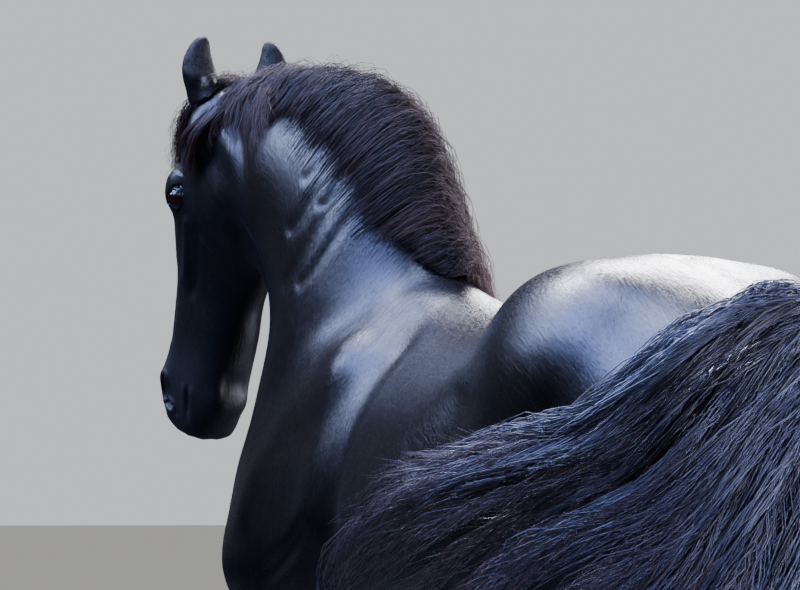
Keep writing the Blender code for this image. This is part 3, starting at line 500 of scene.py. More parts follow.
@dataclass(frozen=True)
class Neck:
    """The arched neck: chords from crest to underside, each turned a little to the left."""

    spine: Spine
    # crest (behind, up), underside (behind, up), half width, where the width is greatest
    # as a share from the underside to the crest, turn to the left in degrees
    sections: Rows = (
        (160, 1470, -310, 970, 190, 0.42, 8), (45, 1570, -425, 1085, 208, 0.42, 10.5),
        (-40, 1655, -482, 1215, 196, 0.42, 13), (-86, 1750, -468, 1335, 168, 0.43, 14.5),
        (-138, 1846, -452, 1440, 144, 0.45, 16.5), (-220, 1918, -470, 1530, 124, 0.47, 17.5),
        (-330, 1954, -520, 1615, 108, 0.5, 17.5), (-450, 1964, -568, 1690, 96, 0.52, 17),
        (-556, 1966, -620, 1750, 84, 0.54, 16), (-626, 1957, -660, 1810, 60, 0.55, 15),
    )

    def path(self) -> tuple[Array, Array, Array]:
        """Follows the middle of the neck.

        The heading of each section is integrated along the middle line, from where the
        back's own bend leaves it.

        Returns:
            Places along the table, the table read there, and the middle's (x, y).
        """
        place = np.linspace(0, len(self.sections) - 1, 60)
        rows = hermite(np.arange(len(self.sections)), metres(self.sections, 5), place)
        middle = (rows[:, 0] + rows[:, 2]) / 2
        turn, step = np.radians(rows[:, 6]), -np.gradient(middle)
        start = self.spine.carry(np.array([[0.0, middle[0], 0.0]]))[0]
        x = start[0] + np.cumsum(np.sin(turn) * step)
        y = start[1] - np.cumsum(np.cos(turn) * step)
        return place, rows, np.stack([x, y], -1)

    def surface(self, place: Array, share: Array, clear: Array = 0.0) -> Array:
        """Points on the neck, or clear of it.

        Args:
            place: Place along the table of sections, 0 at the base and 9 at the poll.
            share: Half turns round the section from the crest, positive down the right.
            clear: Distance out from the surface.

        Returns:
            Points in the body.
        """
        places, rows, middles = self.path()
        crest_y, crest_z, under_y, under_z, width, waist, heading = np.stack(
            [np.interp(place, places, rows[:, k]) for k in range(7)]
        )
        angle = math.pi / 2 + math.pi * np.asarray(share)
        c, s = np.cos(angle), np.sin(angle)
        power = np.where(s >= 0, 1.75, 2.0)
        x = width * np.sign(c) * np.abs(c) ** (2 / power)
        rise = np.where(s >= 0, 1 - waist, waist) * np.sign(s) * np.abs(s) ** (2 / power)
        length = np.hypot(crest_y - under_y, crest_z - under_z)
        flat = np.stack([x, (waist + rise) * length], -1)
        outward = unit(flat - np.stack([0 * waist, waist * length], -1))
        flat = flat + outward * np.asarray(clear)[..., None]
        y = under_y + flat[..., 1] * (crest_y - under_y) / length - (crest_y + under_y) / 2
        z = under_z + flat[..., 1] * (crest_z - under_z) / length
        turn = np.radians(heading)
        middle_x = np.interp(place, places, middles[:, 0])
        middle_y = np.interp(place, places, middles[:, 1])
        return np.stack([
            middle_x + flat[..., 0] * np.cos(turn) - y * np.sin(turn),
            middle_y + flat[..., 0] * np.sin(turn) + y * np.cos(turn),
            z,
        ], -1)

    def shell(self) -> Shell:
        """The neck as a tube through its sections."""
        place, share = np.meshgrid(np.linspace(0, 9, 72), np.linspace(0, 2, 41)[:-1], indexing="ij")
        return Shell.tube(self.surface(place, share))


@dataclass(frozen=True)
class Head:
    """The head, in its own coordinates: along it from the poll, front, and out to the left."""

    neck: Neck
    poll_behind: float = -0.604
    poll_up: float = 1.962
    tilt_deg: float = 15.0
    turn_deg: float = 14.0
    # along, front line, middle, jaw line, half width, squareness of front and of jaw
    sections: Rows = (
        (-22, 30, -10, -55, 34, 2, 2), (0, 56, 0, -85, 58, 2.1, 2), (50, 80, 10, -122, 74, 2.2, 1.9),
        (100, 96, 18, -152, 83, 2.3, 1.8), (150, 104, 20, -174, 88, 2.3, 1.8),
        (200, 106, 16, -184, 89, 2.3, 1.8), (260, 104, 8, -178, 84, 2.2, 1.9),
        (320, 98, -2, -156, 73, 2.1, 2), (380, 90, -12, -134, 66, 2, 2.2),
        (440, 82, -18, -130, 66, 2.1, 2.4), (500, 75, -20, -122, 65, 2.2, 2.5),
        (550, 68, -22, -117, 64, 2.3, 2.5), (590, 50, -26, -108, 61, 2.5, 2.6),
        (620, 40, -32, -100, 58, 2.6, 2.6), (642, 28, -36, -90, 53, 2.7, 2.7),
        (654, 10, -38, -78, 43, 2.5, 2.5),
    )
    # (along, front, out) and half sizes of the bones and muscles that round the head
    masses: tuple = (
        ((198, 64, 70), (48, 32, 30)), ((176, -78, 52), (104, 94, 38)), ((280, 6, 64), (100, 14, 17)),
        ((548, 26, 46), (46, 30, 20)), ((608, 6, 18), (44, 42, 42)), ((566, -86, 12), (48, 38, 38)),
    )
    eye_centre: tuple[float, float, float] = (0.212, 0.044, 0.0795)
    eye_radius: float = 0.0215

    def axes(self) -> Array:
        """Columns: the directions along, front and out, in the body.

        Returns:
            A 3 x 3 matrix.
        """
        tilt = math.radians(self.tilt_deg)
        along = (0, -math.sin(tilt), -math.cos(tilt))
        front = (0, -math.cos(tilt), math.sin(tilt))
        swing = np.array(Matrix.Rotation(math.radians(self.turn_deg), 3, "Z"))
        return swing @ np.array([along, front, (1, 0, 0)]).T

    def poll(self) -> Array:
        """Where the poll is, carried on from the last section of the neck.

        Returns:
            One place in the body.
        """
        _, rows, middles = self.neck.path()
        back = self.poll_behind - (rows[-1, 0] + rows[-1, 2]) / 2
        turn = math.radians(rows[-1, 6])
        x, y = middles[-1]
        return np.array([x - math.sin(turn) * back, y + math.cos(turn) * back, self.poll_up])

    def to_body(self, points: Array) -> Array:
        """Head coordinates as body coordinates."""
        return np.asarray(points, float) @ self.axes().T + self.poll()

    def from_body(self, points: Array) -> Array:
        """Body coordinates as head coordinates."""
        return (points - self.poll()) @ self.axes()

    def eye(self, side: Side) -> Array:
        """The middle of one eyeball, in head coordinates."""
        along, front, out = self.eye_centre
        return np.array([along, front, side.value * out])

    def eye_axes(self, side: Side) -> Array:
        """Columns: level, upright and outward at one eye, in head coordinates.

        Args:
            side: The side of the body.

        Returns:
            A 3 x 3 matrix.
        """
        slant, s = math.radians(30), side.value
        level = unit(np.array([math.cos(slant), math.sin(slant), -s * 0.12]))
        out = unit(np.array([-0.05, 0.1, s]))
        upright = unit(np.cross(out, level))
        return np.stack([np.cross(upright, out), upright, out], 1)

    def shells(self) -> list[Shell]:
        """The skull's tube and the masses on both sides of it.

        Returns:
            The loose shells, in the body.
        """
        found = [Shell.tube(self.to_body(ringed(metres(self.sections, 5), 36)[..., [0, 2, 1]]))]
        for side in Side:
            for middle, half_sizes in self.masses:
                mass = Shell.ball(np.array(half_sizes) / 1000)
                mass.points = self.to_body(mass.points + np.array(middle) / 1000 * [1, 1, side.value])
                found.append(mass)
        return found


@dataclass(frozen=True)
class Ear:
    """A cupped leaf of cartilage, open to the front and side and solid at its root."""

    head: Head
    side: Side
    lean_out_deg: float
    lean_front_deg: float
    opening_deg: float
    length: float = 0.113
    half_width: float = 0.033
    wall: float = 0.0035
    root: tuple[float, float, float] = (0.016, 0.03, 0.071)
    # share of the length, share of the half width, depth of the cup, lean of the tip inwards
    leaf: Rows = (
        (-0.6, 0.5, 0.018, 0.042), (-0.42, 0.94, 0.032, 0.028), (-0.24, 1.12, 0.038, 0.018),
        (-0.08, 1.17, 0.039, 0.01), (0.14, 1.04, 0.032, 0.003), (0.32, 1.0, 0.027, -0.002),
        (0.55, 0.88, 0.02, -0.005), (0.78, 0.66, 0.013, -0.001), (0.92, 0.46, 0.009, 0.005),
        (0.985, 0.28, 0.005, 0.008),
    )
    sweep_deg: float = 88.0

    def local(self, share: Array, turn: Array, inner: float = 0.0) -> Array:
        """Points of the leaf, in head coordinates.

        The back of the ear is half an ellipse across, and the hollow follows it a wall
        thickness inside.

        Args:
            share: Share of the length from root to tip.
            turn: Place across, from -1 at one rim to 1 at the other.
            inner: 0 on the back, 1 in the hollow.

        Returns:
            Rows of (along, front, out).
        """
        table = np.array(self.leaf)
        width, depth, curl = hermite(table[:, 0], table[:, 1:], share).T
        angle = np.asarray(turn) * math.radians(self.sweep_deg)
        wall = np.minimum(self.wall, 0.45 * depth)
        hollow = ramp(share, 0.04, 0.24)
        half = self.half_width * width
        across = half * np.sin(angle) * (1 - inner * wall / (2 * half))
        back = -depth * np.cos(angle)
        filled = np.abs(back) * 0.35
        front = back + inner * (hollow * wall * np.abs(back) / depth + (1 - hollow) * (filled - back))
        place = np.stack([-share * self.length, front, across - self.side.value * curl], -1)
        return place @ self.swing().T + self.at_root()

    def swing(self) -> Array:
        """The turn of the leaf on the head: outwards, forwards and about its own length.

        Returns:
            A 3 x 3 matrix.
        """
        lean_out, lean_front, opening = np.radians(
            (self.lean_out_deg, self.lean_front_deg, self.opening_deg)
        )
        sign = self.side.value
        return np.array(
            Matrix.Rotation(sign * lean_out, 3, Vector((0, 1, 0)))
            @ Matrix.Rotation(-lean_front, 3, Vector((0, 0, 1)))
            @ Matrix.Rotation(sign * opening, 3, Vector((-1, 0, 0)))
        )

    def at_root(self) -> Array:
        """The middle of the ear's root, in head coordinates."""
        return np.array([self.root[0], self.root[1], self.side.value * self.root[2]])

    def shell(self) -> Shell:
        """The ear as a tube whose rings run over the back and through the hollow.

        Returns:
            The ear, in the body.
        """
        turn = np.sin(np.linspace(-1, 1, 17) * math.pi / 2)
        rings = []
        for share in np.linspace(-0.6, 0.985, 54):
            level = np.full(17, share)
            back, hollow = self.local(level, turn), self.local(level, turn * 0.97, 1.0)
            rings.append(np.concatenate([back, hollow[::-1]]))
        return Shell.tube(self.head.to_body(np.array(rings)))


@dataclass
class Body:
    """All the parts of the plan, and where the design stands in the frame."""

    spine: Spine = field(default_factory=Spine)
    # centre (out, behind, up), half sizes (across, along, up), nose-up tilt in degrees
    muscles: tuple = (
        ("shoulder_blade", (158, -180, 1270), (80, 280, 135), -47),
        ("triceps", (196, -110, 1115), (80, 170, 135), 20),
        ("upper_arm", (172, -290, 1090), (90, 155, 120), 15),
        ("breast", (88, -400, 1125), (105, 100, 170), 0), ("girth", (120, 20, 1020), (140, 220, 155), 0),
        ("loin", (90, 580, 1447), (120, 250, 100), 0), ("rump", (136, 755, 1386), (172, 272, 208), 10),
        ("hip_point", (206, 630, 1430), (70, 110, 78), 15),
        ("hamstrings", (134, 1005, 1190), (118, 172, 290), -8),
        ("thigh", (184, 770, 1140), (112, 170, 200), 0), ("stifle", (184, 680, 985), (66, 66, 90), 0),
        ("elbow", (176, -80, 955), (45, 45, 60), 0), ("point_of_hock", (143, 1086, 672), (26, 30, 60), -6),
    )
    moves_with: dict = field(default_factory=lambda: {
        "point_of_hock": Limb.HIND, "stifle": Limb.HIND, "elbow": Limb.FORE,
    })
    steps: dict = field(default_factory=lambda: {
        (Limb.FORE, Side.LEFT): 0.0, (Limb.FORE, Side.RIGHT): 0.035,
        (Limb.HIND, Side.LEFT): -0.045, (Limb.HIND, Side.RIGHT): 0.085,
    })

    def __post_init__(self) -> None:
        """Builds the parts, and finds the frame's place from the left eye's solid."""
        self.trunk = Trunk(self.spine)
        self.neck = Neck(self.spine)
        self.head = Head(self.neck)
        self.legs = {key: Leg(self.spine, *key, step) for key, step in self.steps.items()}
        self.ears = {
            Side.LEFT: Ear(self.head, Side.LEFT, 4.0, 19.0, 20.0),
            Side.RIGHT: Ear(self.head, Side.RIGHT, 10.0, 12.0, -50.0),
        }
        low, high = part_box("eye_left")
        middle = (np.array(low) + np.array(high)) / 2
        self.shift = middle - self.head.to_body(self.head.eye(Side.LEFT)[None])[0]
        self.shift[2] = 0.0

    def muscle_shells(self) -> list[Shell]:
        """Each muscle on both sides, tilted, moved with its leg's step and bent with the back.

        Returns:
            One shell for each muscle and side.
        """
        found = []
        for name, centre, half_sizes, tilt in self.muscles:
            turn = np.array(Matrix.Rotation(math.radians(-tilt), 3, "X"))
            for side in Side:
                out, behind, up = (c / 1000 for c in centre)
                if name in self.moves_with:
                    behind -= float(self.legs[self.moves_with[name], side].ahead(up))
                mass = Shell.ball(np.array(half_sizes) / 1000)
                place = mass.points @ turn.T + np.array([side.value * out, behind, up])
                mass.points = self.spine.carry(place)
                found.append(mass)
        return found

    def flesh(self) -> Shell:
        """Every mass of flesh but the ears, still loose.

        Returns:
            All of it as one shell.
        """
        shells = [self.trunk.shell(), self.neck.shell(), *self.head.shells()]
        shells += [leg.shell() for leg in self.legs.values()]
        return Shell.joined(shells + self.muscle_shells())


# ---- the skin
@dataclass(frozen=True)
class Crease:
    """A long furrow or ridge of the skin, whose section is a bell curve."""

    path: Array
    width: float
    height: float
    fades: bool = True

    def lift(self, points: Array) -> Array:
        """How far each point moves along its normal.

        It is the height times exp(-d^2 / 2w^2), fading over the last sixth of the path.

        Args:
            points: Places in the body or the head.

        Returns:
            One length for each point.
        """
        low, high = self.path.min(0) - 4 * self.width, self.path.max(0) + 4 * self.width
        near = np.all((points > low) & (points < high), axis=1)
        found = np.zeros(len(points))
        distance, share = near_path(points[near], self.path)
        fade = ramp(share, 0.0, 0.16) * (1 - ramp(share, 0.84, 1.0)) if self.fades else 1.0
        found[near] = self.height * np.exp(-0.5 * (distance / self.width) ** 2) * fade
        return found


@dataclass
class Skin:
    """One closed skin over the trunk, neck, head, legs and ears."""

    body: Body
    cell: float = 0.0119
    ease_rounds: int = 40
    coat_depth: float = 0.0035
    tendon_turn: float = 0.62
    # in millimetres: width and height, then knots (along, front, out) in head coordinates
    face: tuple = (
        # the facial crest, and the vein and muscle edges under it
        (6, 4, (235, 8, 90), (300, 2, 78), (375, -4, 66)),
        (10, -4, (245, -20, 86), (310, -30, 76), (400, -20, 64)),
        (4, 2.4, (270, -30, 80), (300, -80, 70), (300, -130, 55)),
        (3.5, 2, (300, -30, 74), (360, 20, 62), (430, 44, 50)),
        # the hollow over the eye, and the dip between the nose bone and the cheek
        (18, -5, (140, 58, 74), (165, 62, 74)),
        (12, -5, (330, 60, 60), (420, 52, 52), (500, 44, 48)),
        (8, 2.5, (300, 94, 30), (400, 82, 27), (500, 70, 22)),
        # the edge of the jaw and the hollow behind it
        (10, 5, (80, -85, 78), (150, -150, 60), (220, -172, 45)),
        (12, -12, (20, -50, 80), (90, -135, 78), (190, -200, 56)),
        # the wing of the nostril, the chin groove and the wrinkle over the lip
        (6, 4.5, (545, 36, 50), (580, 34, 50), (606, 18, 50)),
        (16, -4, (535, -112, -30), (540, -104, 34)),
        (4, -2, (600, -4, 62), (620, -22, 58)),
    )
    # the same, with knots (out, behind, up) on the straight horse
    flank: tuple = (
        # the shoulder blade's spine, the hollow ahead of it, and the furrow and ridge behind it
        (22, 6, (120, -130, 1500), (215, -220, 1330), (250, -330, 1130)),
        (30, -5, (100, -170, 1560), (190, -320, 1350), (225, -430, 1150)),
        (28, -13, (100, 100, 1535), (200, 80, 1440), (270, 65, 1330), (290, 60, 1200), (285, 40, 1080)),
        (30, 9, (30, 60, 1590), (90, -10, 1550), (150, -45, 1500), (205, -45, 1420), (240, -45, 1330),
         (265, -45, 1210), (270, -60, 1100)),
        (12, -7, (285, -20, 1180), (275, -120, 1110), (235, -240, 1060)),
        # breast, girth, belly and flank
        (16, -12, (12, -520, 1220), (12, -500, 1080), (12, -420, 960)),
        (5, 3, (290, 110, 1060), (270, 250, 950), (220, 420, 900)),
        (50, -11, (330, 480, 1220), (322, 540, 1310), (280, 585, 1410)),
        (20, -10, (300, 560, 1100), (270, 620, 1010), (230, 660, 940)),
        # croup: the furrow of the spine and the edges of the hamstrings
        (20, -5, (0, 720, 1600), (0, 900, 1585), (0, 1080, 1520)),
        (20, -7, (275, 860, 1400), (270, 900, 1220), (225, 900, 1040)),
        (14, -8, (150, 1150, 1420), (190, 1120, 1220), (190, 1040, 1020)),
        (18, -16, (30, 1195, 1330), (20, 1170, 1160), (30, 1100, 1000)),
        (12, -6, (205, 790, 960), (190, 880, 860), (176, 960, 760)),
    )
    # the jugular groove and the throat: knots (place along the neck, half turns from the crest)
    grooves: tuple = (
        (18, -12, (0.5, 0.83), (3, 0.8), (5.5, 0.78), (7.8, 0.74)),
        (10, -7, (8.7, 0.3), (8.5, 0.5), (8.3, 0.72)),
    )
    # the folds of the neck's left side: place at the crest, lowest half turn, width and depth
    folds: Rows = (
        (5.15, 0.38, 8, 1.6), (4.74, 0.5, 12, 3), (4.4, 0.36, 7, 1.8), (4.02, 0.56, 14, 3.2),
        (3.45, 0.44, 10, 2.2),
    )

    def build(self) -> Object:
        """Fuses the flesh, eases it, refines the head, joins the ears and carves the detail.

        Returns:
            The skin, moved into the frame, with the attribute `lie`: the way the coat lies.
        """
        mesh = self.fused(self.body.flesh())
        self.ease_where(mesh, self.softness, 0.5, self.ease_rounds)
        self.refine(mesh, lambda p: self.on_head(p, 0.04))
        self.ease_where(mesh, lambda p: self.on_head(p, 0.06), 0.35, 4)
        self.refine(mesh, self.on_folds)
        self.fill_under_ears(mesh)
        obj = self.with_ears(mesh)
        mesh = obj.data
        for radius in (0.075, 0.045):
            self.refine(mesh, lambda p: self.fine_places(p, radius))
        self.ease_where(mesh, lambda p: self.fine_places(p, 0.06), 0.4, 3)
        self.carve(mesh)
        self.sink(mesh)
        self.store_lie(mesh)
        move_points(mesh, vectors_of(mesh) + self.body.shift)
        return obj

    def fused(self, shell: Shell) -> Mesh:
        """One closed mesh of small square cells round all the masses.

        Args:
            shell: The loose masses.

        Returns:
            The closed mesh.
        """
        obj = put_in_scene("flesh", shell.mesh("flesh"))
        remesh = obj.modifiers.new("fuse", "REMESH")
        remesh.mode, remesh.voxel_size = "VOXEL", self.cell
        mesh = applied(obj)
        bpy.data.objects.remove(obj)
        return mesh

    def softness(self, points: Array) -> Array:
        """How much the flesh is eased: fully on the body, little where bone is near the skin.

        Args:
            points: Places in the body.

        Returns:
            A share from 0 to 1 for each point.
        """
        head = self.body.head
        local = head.from_body(points)
        off_legs = np.clip((points[:, 2] - 0.72) / 0.25, 0.0, 1.0)
        near = np.linalg.norm(points - head.poll(), axis=1) < 0.8
        in_head = near & (points[:, 1] < -0.5) & (points[:, 2] > 1.2) & (np.abs(local[:, 2]) < 0.14)
        bony = np.clip((local[:, 0] + 0.02) / 0.08, 0.0, 1.0) * in_head
        return np.maximum(0.06, off_legs * (1 - 0.93 * bony))

    def on_head(self, points: Array, margin: float) -> Array:
        """True for points on the head, the poll and the roots of the ears.

        Args:
            points: Places in the body.
            margin: How far beyond the head still counts.

        Returns:
            One truth for each point.
        """
        local = self.body.head.from_body(points)
        along, front, out = local.T
        return (along > -0.03 - margin) & (along < 0.75) & (np.abs(out) < 0.13 + margin) & (
            front > -0.21 - margin
        ) & (front < 0.2) & (along + 0.8 * front > -0.06 - margin)

    def headness(self, points: Array) -> Array:
        """1 on the head and ears, fading to 0 on the neck, by how far a point is from the skull's axis.

        Args:
            points: Places in the body.

        Returns:
            A share from 0 to 1 for each point.
        """
        along, front, out = self.body.head.from_body(points).T
        behind = np.maximum(-along, 0) / 0.1 * (1 - ramp(front, -0.06, -0.02))
        far = np.sqrt(((front + 0.03) / 0.16) ** 2 + (out / 0.115) ** 2 + behind**2)
        far = far + np.maximum(-along - 0.17, 0) * 20 + np.maximum(along - 0.7, 0) * 20
        return 1 - ramp(far, 1.05, 1.5)

    def fine_places(self, points: Array, radius: float) -> Array:
        """True for points near an eye, a nostril or the mouth.

        Args:
            points: Places in the body.
            radius: The distance that counts as near.

        Returns:
            One truth for each point.
        """
        local = self.body.head.from_body(points)
        found = np.zeros(len(points), bool)
        for side in Side:
            found |= np.linalg.norm(local - self.body.head.eye(side), axis=1) < radius * 0.75
            nostril = np.array([0.585, 0.016, side.value * 0.046])
            found |= np.linalg.norm(local - nostril, axis=1) < radius * 0.8
        for side in Side:
            found |= near_path(local, self.mouth_line(side))[0] < radius * 0.35
        return found

    def on_folds(self, points: Array) -> Array:
        """True where the neck wrinkles on the side it turns to."""
        middle = self.body.neck.surface(np.array([4.0]), np.array([-0.36]))[0]
        return np.linalg.norm(points - middle, axis=1) < 0.17

    def refine(self, mesh: Mesh, wanted: Callable[[Array], Array]) -> None:
        """Splits each edge whose two ends are wanted, so that their faces become four.

        Args:
            mesh: The skin.
            wanted: Says which places are wanted.
        """
        chosen = wanted(vectors_of(mesh))
        bm = bmesh.new()
        bm.from_mesh(mesh)
        edges = [e for e in bm.edges if chosen[e.verts[0].index] and chosen[e.verts[1].index]]
        bmesh.ops.subdivide_edges(bm, edges=edges, cuts=1, use_grid_fill=True)
        bm.to_mesh(mesh)
        bm.free()

    def ease_where(self, mesh: Mesh, wanted: Callable[[Array], Array],
                   strength: float, rounds: int) -> None:
        """Eases only the wanted points."""
        ease(mesh, strength * wanted(vectors_of(mesh)), rounds)

    def fill_under_ears(self, mesh: Mesh) -> None:
        """Swells the temple under each ear, where the muscles that turn the ear lie.

        Args:
            mesh: The skin.
        """
        points = vectors_of(mesh)
        local = self.body.head.from_body(points)
        rise = np.zeros(len(points))
        for side in Side:
            line = np.array([(0.03, 0.01, side.value * 0.076), (0.085, 0.004, side.value * 0.084)])
            rise = np.maximum(rise, Crease(line, 0.026, 0.03, False).lift(local))
        move_points(mesh, points + rise[:, None] * vectors_of(mesh, "normal"))

    def with_ears(self, mesh: Mesh) -> Object:
        """Unites the ears with the skin and rounds the crease round each root.

        Args:
            mesh: The skin without ears.

        Returns:
            The skin with them, in the scene.
        """
        obj = put_in_scene("skin", mesh)
        ears = []
        for side, ear in self.body.ears.items():
            cutter = put_in_scene(f"ear_root_{side.word}", ear.shell().mesh("ear"))
            union = obj.modifiers.new(f"ear_{side.word}", "BOOLEAN")
            union.operation, union.solver, union.object = "UNION", "MANIFOLD", cutter
            ears.append(cutter)
        joined = applied(obj)
        obj.modifiers.clear()
        obj.data = joined
        for cutter in ears:
            bpy.data.objects.remove(cutter)
        joined.name = "skin"
        joined.shade_smooth()
        self.ease_where(joined, self.at_ear_root, 0.5, 30)
        return obj

    def at_ear_root(self, points: Array) -> Array:
        """How near each point is to the foot of an ear, from 0 to 1.

        Args:
            points: Places in the body.

        Returns:
            A share for each point.
        """
        local = self.body.head.from_body(points)
        found = np.zeros(len(points))
        for ear in self.body.ears.values():
            for share in (-0.28, -0.56):
                foot = ear.local(np.array([share]), np.array([0.0]))[0] * 0.7 + ear.at_root() * 0.3
                found = np.maximum(found, 1 - ramp(np.linalg.norm(local - foot, axis=1), 0.034, 0.062))
        return found

    def mouth_line(self, side: Side) -> Array:
        """The line of the lips, in head coordinates, from their middle to the corner.

        Args:
            side: The side of the body.

        Returns:
            Places along the line.
        """
        s = side.value
        return threaded(np.array([
            (0.66, -0.046, 0.0), (0.648, -0.05, s * 0.024), (0.622, -0.055, s * 0.046),
            (0.586, -0.052, s * 0.058), (0.548, -0.044, s * 0.063),
        ]))

    def head_creases(self, side: Side) -> list[Crease]:
        """The bones, lips and folds of one side of the head, in head coordinates.

        Args:
            side: The side of the body.

        Returns:
            The creases.
        """
        lips, mirror = self.mouth_line(side), np.array([1, 1, side.value])
        found = [Crease(lips, 0.0034, -0.006)]
        found += [Crease(lips + np.array([-0.004, up, 0]), 0.006, 0.0026) for up in (0.011, -0.012)]
        return found + [Crease(threaded(np.array(knots) / 1000 * mirror), width / 1000, height / 1000)
                        for width, height, *knots in self.face]

    def body_creases(self, side: Side) -> list[Crease]:
        """The muscle edges, tendons, folds and veins of one side of the body.

        Args:
            side: The side of the body.

        Returns:
            The creases, in the body.
        """
        s, body = side.value, self.body

        def on_neck(knots: Rows, width: float, height: float) -> Crease:
            """A crease through (place along the neck, half turns from the crest)."""
            place, share = np.array(knots, float).T
            return Crease(threaded(body.neck.surface(place, -s * share)), width / 1000, height / 1000)

        mirror = np.array([s, 1, 1])
        found = [
            Crease(threaded(body.spine.carry(np.array(knots) / 1000 * mirror)), width / 1000, height / 1000)
            for width, height, *knots in self.flank]
        found += [on_neck(knots, width, height) for width, height, *knots in self.grooves]
        if side is Side.LEFT:
            for place, low, wide, deep in self.folds:
                knots = ((place, 0.22), (place - 0.3, low * 0.55 + 0.12), (place - 0.12, low))
                found.append(on_neck(knots, wide, -deep))
        for limb in Limb:
            heights = np.linspace(0.42 if limb is Limb.HIND else 0.38, 0.2, 8)
            for angle in (self.tendon_turn, math.pi - self.tendon_turn):
                tendon = body.legs[limb, side].around(heights, np.full(8, angle), np.zeros(8))
                found.append(Crease(tendon, 0.007, -0.0055))
        return found

    def carve(self, mesh: Mesh) -> None:
        """Lifts and sinks the skin by all the creases, ribs, nostrils and lids.

        Args:
            mesh: The skin.
        """
        head = self.body.head
        points, normals = vectors_of(mesh), vectors_of(mesh, "normal")
        lift = np.zeros(len(points))
        near_head = self.headness(points)
        local = head.from_body(points)
        for side in Side:
            for crease in self.body_creases(side):
                lift += crease.lift(points)
            for crease in self.head_creases(side):
                lift += crease.lift(local) * near_head
        lift += self.ribs(points)
        points = points + normals * lift[:, None]
        for side in Side:
            points = self.nostril(points, normals, side)
            points = self.lids(points, side)
        move_points(mesh, points)

    def ribs(self, points: Array) -> Array:
        """A faint wave down the barrel, one crest each 58 mm, fading towards its edges.

        Args:
            points: Places in the body.

        Returns:
            The rise of each point.
        """
        x, y, z = points.T
        fade = ramp(y, 0.02, 0.16) * (1 - ramp(y, 0.4, 0.52)) * ramp(z, 0.96, 1.1)
        fade = fade * (1 - ramp(z, 1.22, 1.42)) * ramp(np.abs(x), 0.12, 0.24)
        return 0.0005 * fade * np.sin(2 * math.pi * (y + 0.28 * z) / 0.058)

    def nostril(self, points: Array, normals: Array, side: Side) -> Array:
        """Sinks a comma-shaped hole: deepest along a short arc, with steep walls.

        Args:
            points: Places in the body.
            normals: The skin's directions there.
            side: The side of the body.

        Returns:
            The moved places.
        """
        s = side.value
        local = self.body.head.from_body(points)
        arc = threaded(np.array([
            (0.556, 0.03, s * 0.056), (0.578, 0.03, s * 0.054), (0.598, 0.018, s * 0.052),
            (0.604, 0.0, s * 0.052),
        ]))
        distance, _ = near_path(local, arc)
        outside = s * local[:, 2] > 0.018
        hole = (1 - ramp(distance, 0.0035, 0.0095)) * outside
        rim = np.exp(-0.5 * ((distance - 0.0125) / 0.0035) ** 2) * outside
        inward = self.body.head.axes() @ np.array([-0.35, -0.15, -s])
        return points + normals * (0.0028 * rim)[:, None] + inward * (0.022 * hole)[:, None]

    def lids(self, points: Array, side: Side) -> Array:
        """Wraps the skin round the eyeball and opens an almond between two lids.

        In the eye's own plane the almond is an ellipse. Inside it the skin drops behind the
        ball; outside it the skin rides over the ball as a lid, and fades into the face.

        Args:
            points: Places in the body.
            side: The side of the body.

        Returns:
            The moved places.
        """
        head = self.body.head
        frame_axes = head.eye_axes(side)
        local = (head.from_body(points) - head.eye(side)) @ frame_axes
        a, b, c = local.T
        radius = head.eye_radius
        reach = np.hypot(a / 0.0172, b / 0.0088)
        flat = np.hypot(a, b)
        facing = (c > -0.004) & (flat < 0.06)
        lid_radius = radius + 0.0022 + 0.0012 * np.exp(-0.5 * ((reach - 1.15) / 0.1) ** 2)
        over_ball = np.sqrt(np.clip(lid_radius**2 - a**2 - b**2, 0.0, None))
        behind_ball = np.sqrt(np.clip((radius - 0.004) ** 2 - a**2 - b**2, 0.0, None))
        on_lid = facing * (1 - ramp(reach, 1.45, 2.1)) * (flat < lid_radius * 0.98)
        in_hole = facing * (1 - ramp(reach, 0.93, 1.05))
        fold = -0.0022 * np.exp(-0.5 * ((reach - 1.62) / 0.12) ** 2) * facing
        height = c + on_lid * (over_ball - c) + fold
        height = height + in_hole * (behind_ball - height)
        moved = np.stack([a, b, height], 1) @ frame_axes.T + head.eye(side)
        near = facing & (reach < 2.6)
        found = points.copy()
        found[near] = head.to_body(moved)[near]
        return found

    def sink(self, mesh: Mesh) -> None:
        """Moves the skin in by the depth of the coat: least on the face, the ears and the legs.

        Args:
            mesh: The skin.
        """
        points, normals = vectors_of(mesh), vectors_of(mesh, "normal")
        thin = np.maximum(self.headness(points), 1 - ramp(points[:, 2], 0.5, 0.9))
        depth = self.coat_depth * (1 - 0.75 * thin)
        move_points(mesh, points - normals * depth[:, None])

